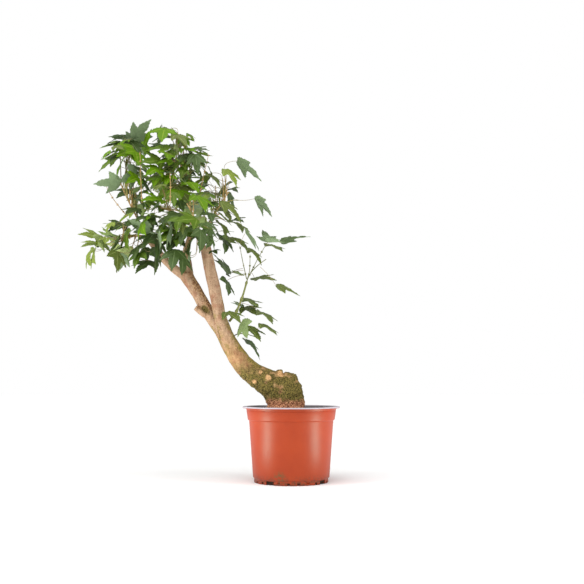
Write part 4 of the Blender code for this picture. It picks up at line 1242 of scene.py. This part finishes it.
class Crown:
    """The crown as it grows: its wood, its petioles, its leaves, and the room that they take."""

    def __init__(self):
        self.starts, self.runs, self.radii = stretches_of_wood()
        self.solids = {name: [] for name in TWIGS}
        self.leaves = []
        self.shapes = []
        self.middles = []
        self.sizes = []

    def take(self, solid):
        """Marks the room of a solid as taken."""
        middle, size = middle_and_size(solid[0])
        self.shapes.append(BVHTree.FromPolygons(*solid))
        self.middles.append(tuple(middle))
        self.sizes.append(size)

    def touches(self, solid):
        middle, size = middle_and_size(solid[0])
        apart = np.linalg.norm(np.array(self.middles) - np.array(middle), axis=1)
        near = np.nonzero(apart < np.array(self.sizes) + size)[0]
        shape = BVHTree.FromPolygons(*solid)
        return any(shape.overlap(self.shapes[number]) for number in near)

    def is_free(self, points, clearance):
        """Whether points lie in the model's box and clear of its wood."""
        low, high = CAD_BOX
        if not all(low[axis] < point[axis] < high[axis] for point in points for axis in range(3)):
            return False
        spots = np.array([tuple(point) for point in points])
        offsets = spots[:, None, :] - self.starts[None, :, :]
        lengths = (self.runs**2).sum(axis=1)
        shares = np.clip((offsets * self.runs[None]).sum(axis=2) / lengths, 0, 1)
        apart = np.linalg.norm(offsets - shares[..., None] * self.runs[None], axis=2)
        return bool((apart > self.radii + clearance).all())


def in_crown(point):
    """Whether the front shows a point inside the dense part of the crown."""
    viewer = Vector(CAMERA_PLACE)
    seen = viewer + (point - viewer) * viewer.y / (viewer.y - point.y)
    if any(math.hypot(seen.x - x, seen.z - z) < radius for x, z, radius in SKY_GAPS):
        return False
    heights, lefts, rights = zip(*CROWN_EDGE)
    left, right = (np.interp(seen.z, heights, edges) for edges in (lefts, rights))
    return heights[0] < seen.z < heights[-1] and left < seen.x < right


def face_seen(place, heading, breadth):
    """A leaf's upper side, turned about its heading until the camera sees it as broad as asked."""
    viewer = (Vector(CAMERA_PLACE) - place).normalized()
    towards = (viewer - heading * viewer.dot(heading)).normalized()
    across = heading.cross(towards)
    rest = math.copysign(math.sqrt(1 - breadth * breadth), across.z)
    return towards * breadth + across * rest


def at_share(path, share):
    """The point at a share of a path's steps, and its direction there."""
    last = len(path) - 1
    number = min(last - 1, int(share * last))
    low, high = path[number], path[number + 1]
    return low.lerp(high, share * last - number), (high - low).normalized()


class Mass:
    """One mass of foliage as it grows: its stem, its shoots, its twigs and its leaves."""

    def __init__(self, name, crown):
        self.crown = crown
        self.space = MASSES[name]
        self.rng = random.Random(name + " fine")
        self.stem = stem_path(name)
        self.shoots = []
        light = self.space.light
        radii = tapered(LIGHT_STEM if light else (stem_radius(name), SHOOT_RADII[0]), len(self.stem))
        crown.solids["side_twigs" if light else "woody_stems"].append(rod(self.stem, radii, STEM_SIDES))
        crown.take(rod(self.stem, radii, 4))

    def targets(self):
        """Where shoots aim: at the leaves that lead them, then at points spread over the space.
        Each has its tint, and a leading leaf its way, length and breadth in the picture."""
        targets = []
        for tint, leaves in self.space.leaders.items():
            for *place, angle, seen, breadth in leaves:
                targets.append((Vector(place) / 1000, tint, math.radians(angle), seen / 1000, breadth / 100))
        for number in range(self.space.fillers):
            height = 1 - 2 * (number + 0.5) / self.space.fillers
            turn = GOLDEN_TURN * number + self.rng.uniform(-FILLER_STRAY, FILLER_STRAY)
            level = math.sqrt(1 - height * height)
            ray = Vector((level * math.cos(turn), level * math.sin(turn), height))
            share = self.rng.uniform(*FILLER_SHARES)
            place = Vector(self.space.middle) + ray * Vector(self.space.reach) * share
            targets.append((place, self.any_tint(), None, 0, 0))
        return sorted(targets, key=lambda target: target[0].z)

    def any_tint(self):
        return self.rng.choices(list(TINTS), [row[-1] for row in TINTS.values()])[0]

    def leading(self, start, target, angle, seen):
        """How a leading leaf points, and its length. Where the picture shows it shorter, it
        points towards the front."""
        length = LEAF_LENGTH * self.rng.uniform(*LEADER_LENGTHS)
        if angle is None:
            level = Vector((target.x - start.x, target.y - start.y, 0)).normalized()
            return self.hang(level), length
        length = max(seen, min(length, seen * FORESHORTENED))
        share = seen / length
        front = -math.sqrt(1 - share * share)
        return Vector((math.cos(angle) * share, front, math.sin(angle) * share)), length

    def grow_shoots(self):
        """Grows a shoot towards each target, which its end leaf will take. Of a light mass, the
        leaves themselves grow from the stem or from the side shoot."""
        starts = self.stem[round(len(self.stem) * BARE_STEM):-1]
        roots = self.stem[2:]
        for line in [[row[:3] for row in LIMBS["side_shoot"]], *GREEN_TWIGS]:
            roots += [Vector(place) for place in smooth_stations(line, TWIG_STEP)[1:]]
        targets = self.targets()
        for number, (target, tint, angle, seen, breadth) in enumerate(targets):
            start = starts[round((number + 0.5) / len(targets) * (len(starts) - 1))]
            heading, length = self.leading(start, target, angle, seen)
            foot = target - heading * length / 2
            leaf = (tint, target, heading, length, None if angle is None else breadth)
            if self.space.light:
                root = min(roots, key=lambda place: (place - foot).length)
                share, rise = LIGHT_SHOOT
                self.shoots.append(([root, root.lerp(foot, share) + UP * rise], [], leaf))
                continue
            run = foot - start
            out = Vector((run.x, run.y, 0))
            inward = min(PETIOLE_LENGTH, run.length * MOST_INWARD)
            end = foot - (out.normalized() + run.normalized() * ONWARD).normalized() * inward
            pull = (start + end) / 2 + UP * (end - start).length * SHOOT_LIFT
            path = bend(start, pull, end, SHOOT_PARTS)
            nodes = self.nodes_of(path)
            radii = tapered(SHOOT_RADII, len(path))
            kind = "woody_stems" if self.rng.random() < WOODY_SHARE else "green_shoots"
            self.crown.solids[kind].append(self.noded_rod(path, radii, nodes))
            self.crown.take(rod(path[1:], radii[1:], 3))
            self.shoots.append((path, nodes, leaf))

    def nodes_of(self, path):
        """Shares of a shoot's length at which leaves grow, from its tip down."""
        length = sum((high - low).length for low, high in zip(path, path[1:]))
        spots = []
        back = NODE_SPACING * self.rng.uniform(*FIRST_NODES)
        while back < length * (1 - BARE_SHOOT):
            spots.append(1 - back / length)
            back += NODE_SPACING * self.rng.uniform(*NODE_STEPS)
        return spots

    def noded_rod(self, path, radii, nodes):
        """A shoot, a little swollen at its nodes."""
        shares = [number / (len(path) - 1) for number in range(len(path))]
        shares += [spot + beside for spot in nodes for beside in (-NODE_HALF, 0, NODE_HALF)]
        shares = sorted({min(1.0, max(0.0, share)) for share in shares})
        swollen = [
            (radii[0] + (radii[-1] - radii[0]) * share) * (NODE_SWELL if share in nodes else 1.0)
            for share in shares
        ]
        return rod([at_share(path, share)[0] for share in shares], swollen, SHOOT_SIDES)

    def hang(self, way):
        """The way a blade points: partly on from its petiole and partly down."""
        level = Vector((way.x, way.y, 0)).normalized()
        down = UP * -self.rng.uniform(*HANG_DOWN)
        return (level * HANG_ONWARD + down + astray(self.rng) * HANG_STRAY).normalized()

    def face_of(self, heading):
        """The upper side's direction, square to the heading and mostly up and outward."""
        out = Vector((heading.x, heading.y, 0)) * FACE_OUTWARD
        face = UP + out + FRONT * FACE_FRONT + astray(self.rng) * FACE_STRAY
        return (face - heading * face.dot(heading)).normalized()

    def in_reach(self, point):
        offset = point - Vector(self.space.middle)
        return sum((offset[axis] / self.space.reach[axis]) ** 2 for axis in range(3)) < 1.0

    def has_room(self, points):
        """Whether points lie in the mass's space, clear of wood, and where the crown is dense."""
        dense = all(self.in_reach(point) and in_crown(point) for point in points)
        return dense and self.crown.is_free(points, LIMB_CLEARANCE)

    def place_leaf(self, root, way, blade, tint, leads=False):
        """Keeps a leaf with its petiole if there is room for it."""
        foot = blade[0]
        solid = coarse_leaf(root + way * SHOOT_RADII[0] * 2, *blade)
        points = solid[0][1:]
        halfway = [low.lerp(high, 0.5) for low, high in zip(points, points[1:])]
        if leads:
            room = self.crown.is_free(points, LEADER_CLEARANCE)
        else:
            room = self.has_room(points + halfway)
        if not room or self.crown.touches(solid):
            return False
        self.crown.take(solid)
        path = bend(root, root + way * (foot - root).length * 0.5, foot, PETIOLE_PARTS)
        petiole = rod(path, tapered(PETIOLE_RADII, len(path)), PETIOLE_SIDES)
        self.crown.solids["petioles"].append(petiole)
        self.crown.leaves.append((*blade, tint))
        return True

    def add_leader_leaf(self, path, leaf):
        tint, target, heading, length, breadth = leaf
        way = (path[-1] - path[-2]).normalized()
        for attempt in range(LEADER_TRIES):
            middle = target + astray(self.rng) * Vector(WANDER) * attempt / LEADER_TRIES
            if breadth is None:
                face = self.face_of(heading)
            else:
                turned_by = self.rng.uniform(-1, 1) * BREADTH_STRAY * attempt
                face = face_seen(middle, heading, min(1.0, max(-1.0, breadth + turned_by)))
            blade = (middle - heading * length / 2, heading, face, length)
            if self.place_leaf(path[-1], way, blade, tint, breadth is not None):
                return

    def add_leaf(self, root, way, tint):
        if self.rng.random() < OTHER_TINT:
            tint = self.any_tint()
        for _ in range(TRIES):
            length = LEAF_LENGTH * self.rng.uniform(*LEAF_LENGTHS)
            heading = self.hang(way)
            foot = root + way * PETIOLE_LENGTH * self.rng.uniform(*PETIOLE_LENGTHS)
            blade = (foot, heading, self.face_of(heading), length)
            if heading.dot(way) > LEAST_ONWARD and self.place_leaf(root, way, blade, tint):
                return
            way = (way + astray(self.rng) * STRAY).normalized()

    def add_pairs(self, path, nodes, tint):
        """Opposite pairs at a shoot's nodes: leaves, and here and there a twig in one's place."""
        for count, spot in enumerate(nodes):
            root, way = at_share(path, spot)
            aside, other = square_to(way)
            turn = count * math.pi / 2 + self.rng.uniform(-STRAY, STRAY)
            for half in (0, math.pi):
                if self.rng.random() > LEAF_SHARE:
                    continue
                spread = aside * math.cos(turn + half) + other * math.sin(turn + half)
                grows = count > 0 and self.rng.random() < TWIG_SHARE
                add = self.add_twig if grows else self.add_leaf
                add(root, (way * PAIR_RISE + spread).normalized(), tint)

    def add_twig(self, root, out, tint):
        """A short twig with an end leaf and a pair below it."""
        length = self.rng.uniform(*TWIG_LENGTHS)
        pull = root + out * length * 0.5
        path = bend(root, pull, pull + (out + UP * TWIG_RISE).normalized() * length * 0.5, TWIG_PARTS)
        radii = tapered(TWIG_RADII, len(path))
        free = rod(path[1:], radii[1:], 3)
        if not self.has_room(path[1:]) or self.crown.touches(free):
            return
        self.crown.solids["green_shoots"].append(rod(path, radii, SHOOT_SIDES))
        self.crown.take(free)
        way = (path[-1] - path[-2]).normalized()
        self.add_leaf(path[-1], way, tint)
        for side in (1, -1):
            self.add_leaf(path[-2], (way * PAIR_RISE + square_to(way)[0] * side).normalized(), tint)


def make_leaves(leaves):
    """The leaves of each tint as one mesh, with pale ribs and undersides."""
    shapes, plan, lower_faces = leaf_variants()
    rows = plan.faces + lower_faces
    row_indices = [2 if pale else 0 for pale in plan.pale] + [1] * len(lower_faces)
    rng = random.Random("leaf shapes")
    for tint, (upper, rib, lower, gloss, _) in TINTS.items():
        solids = []
        for foot, heading, face, length, leaf_tint in leaves:
            shape = rng.choice(shapes)
            if leaf_tint == tint:
                side = face.cross(heading)
                axes = np.array([tuple(heading), tuple(side), tuple(face)]) * length
                solids.append(((shape @ axes + np.array(tuple(foot))).tolist(), rows))
        finishes = [
            leaf_material(tint + "_leaf", upper, 0.45, gloss),
            leaf_material(tint + "_leaf_underside", lower, 0.65, gloss / 2),
            leaf_material(tint + "_leaf_ribs", rib, 0.50, gloss),
        ]
        indices = row_indices * len(solids)
        piece = new_object(tint + "_leaves", *gathered(solids), finishes, indices)
        keep(piece, "foliage", *MASSES, sharp=50)


def bare_twig(corners, rng):
    """A dry twig through its corners, with buds in pairs."""
    points = [Vector(point) for point in smooth_stations(corners, TWIG_STEP)]
    solids = [rod(points, tapered(DRY_RADII, len(points)), SHOOT_SIDES)]
    first, every = BUD_STEPS
    lower, upper = BUD_LENGTHS
    for number in range(first, len(points), every):
        way = (points[number] - points[number - 1]).normalized()
        aside, other = square_to(way)
        aside = (aside * rng.uniform(-1, 1) + other * rng.uniform(-1, 1)).normalized()
        for side in (1, -1):
            bud = [points[number], points[number] + (aside * side + way) * lower]
            bud.append(bud[-1] + way * upper)
            solids.append(rod(bud, BUD_RADII, BUD_SIDES))
    return gathered(solids)


def make_foliage():
    crown = Crown()
    rng = random.Random("bare twigs")
    masses = [Mass(name, crown) for name in MASSES]
    for twigs, kind in ((DRY_TWIGS, "woody_stems"), (GREEN_TWIGS, "side_twigs")):
        for corners in twigs:
            twig = bare_twig(corners, rng)
            crown.solids[kind].append(twig)
            crown.take(twig)
    for mass in masses:
        mass.grow_shoots()
    for mass in masses:
        for path, _, leaf in mass.shoots:
            mass.add_leader_leaf(path, leaf)
    for mass in masses:
        for path, nodes, leaf in mass.shoots:
            mass.add_pairs(path, nodes, leaf[0])
    make_leaves(crown.leaves)
    for name, tones in TWIGS.items():
        piece = new_object(name, *gathered(crown.solids[name]), [twig_material(*tones)])
        keep(piece, "bark", *MASSES, sharp=60)


def make_side_shoot():
    """The thin green shoot on the right, swollen where its branches leave it."""
    smooth = smooth_stations(LIMBS["side_shoot"], SIDE_STEP)
    radii = []
    for number, station in enumerate(smooth):
        share = number / (len(smooth) - 1)
        near = max(math.exp(-(((share - spot) / SIDE_NODE_HALF) ** 2)) for spot in SIDE_NODES)
        radii.append(station[3] * (1 + near * SIDE_NODE_SWELL))
    finish = twig_material("side_shoot_bark", (98, 108, 52), (142, 142, 82))
    solid = rod([Vector(station[:3]) for station in smooth], radii, SIDE_SIDES)
    keep(new_object("green_side_shoot", *solid, [finish]), "bark", "side_shoot", sharp=60)


def make_stage():
    """A plain pale floor, soft studio lights and the camera."""
    finish = Finish("floor", 0.9, 0.1)
    finish.inputs["Base Color"].default_value = (0.96, 0.96, 0.96, 1.0)
    corners = [(FLOOR_HALF * x, FLOOR_HALF * y, 0) for x, y in ((-1, -1), (1, -1), (1, 1), (-1, 1))]
    floor = new_object("floor", corners, [(0, 1, 2, 3)], [finish.made])
    floor.location.z = -FLOOR_DROP

    world = bpy.data.worlds.new("studio")
    bpy.context.scene.world = world
    world.use_nodes = True
    tree = world.node_tree
    background = tree.nodes["Background"]
    background.inputs["Color"].default_value = (1, 1, 1, 1)
    seen = node(tree, "LightPath", "Is Camera Ray")
    strength = node(tree, "MapRange", "Result", {"Value": seen, "To Min": AMBIENT_LIGHT, "To Max": 1.0})
    tree.links.new(strength, background.inputs["Strength"])

    sun = bpy.data.lights.new("high_light", "SUN")
    sun.energy = SUN_STRENGTH
    sun.angle = math.radians(SUN_SOFTNESS)
    linked("high_light", sun).rotation_euler = Vector(SUN_PLACE).to_track_quat("Z", "Y").to_euler()
    for side in (-1, 1):
        for name, (turn, distance, height, width, length, power) in SIDE_LIGHTS.items():
            light = bpy.data.lights.new(name, "AREA")
            light.shape = "RECTANGLE"
            light.size = width
            light.size_y = length
            light.energy = power
            lamp = linked(name, light)
            turn = side * math.radians(turn)
            lamp.location = outward(turn) * distance + UP * height
            if name == "softbox":
                lamp.rotation_euler = outward(turn).to_track_quat("Z", "Y").to_euler()
            else:
                lamp.rotation_euler = (math.pi, 0, turn)
            lamp.visible_camera = False

    camera = bpy.data.cameras.new("camera")
    camera.sensor_width = SENSOR
    camera.lens = SENSOR * FOCAL_PIXELS / PICTURE_SIDE
    viewer = linked("camera", camera)
    viewer.location = CAMERA_PLACE
    viewer.rotation_euler = (math.pi / 2 + math.atan(LEVEL_LINE / FOCAL_PIXELS), 0, 0)
    bpy.context.scene.camera = viewer
    bpy.context.scene.view_settings.view_transform = "Standard"


make_pot()
make_soil()
make_bark()
make_side_shoot()
make_foliage()
make_stage()
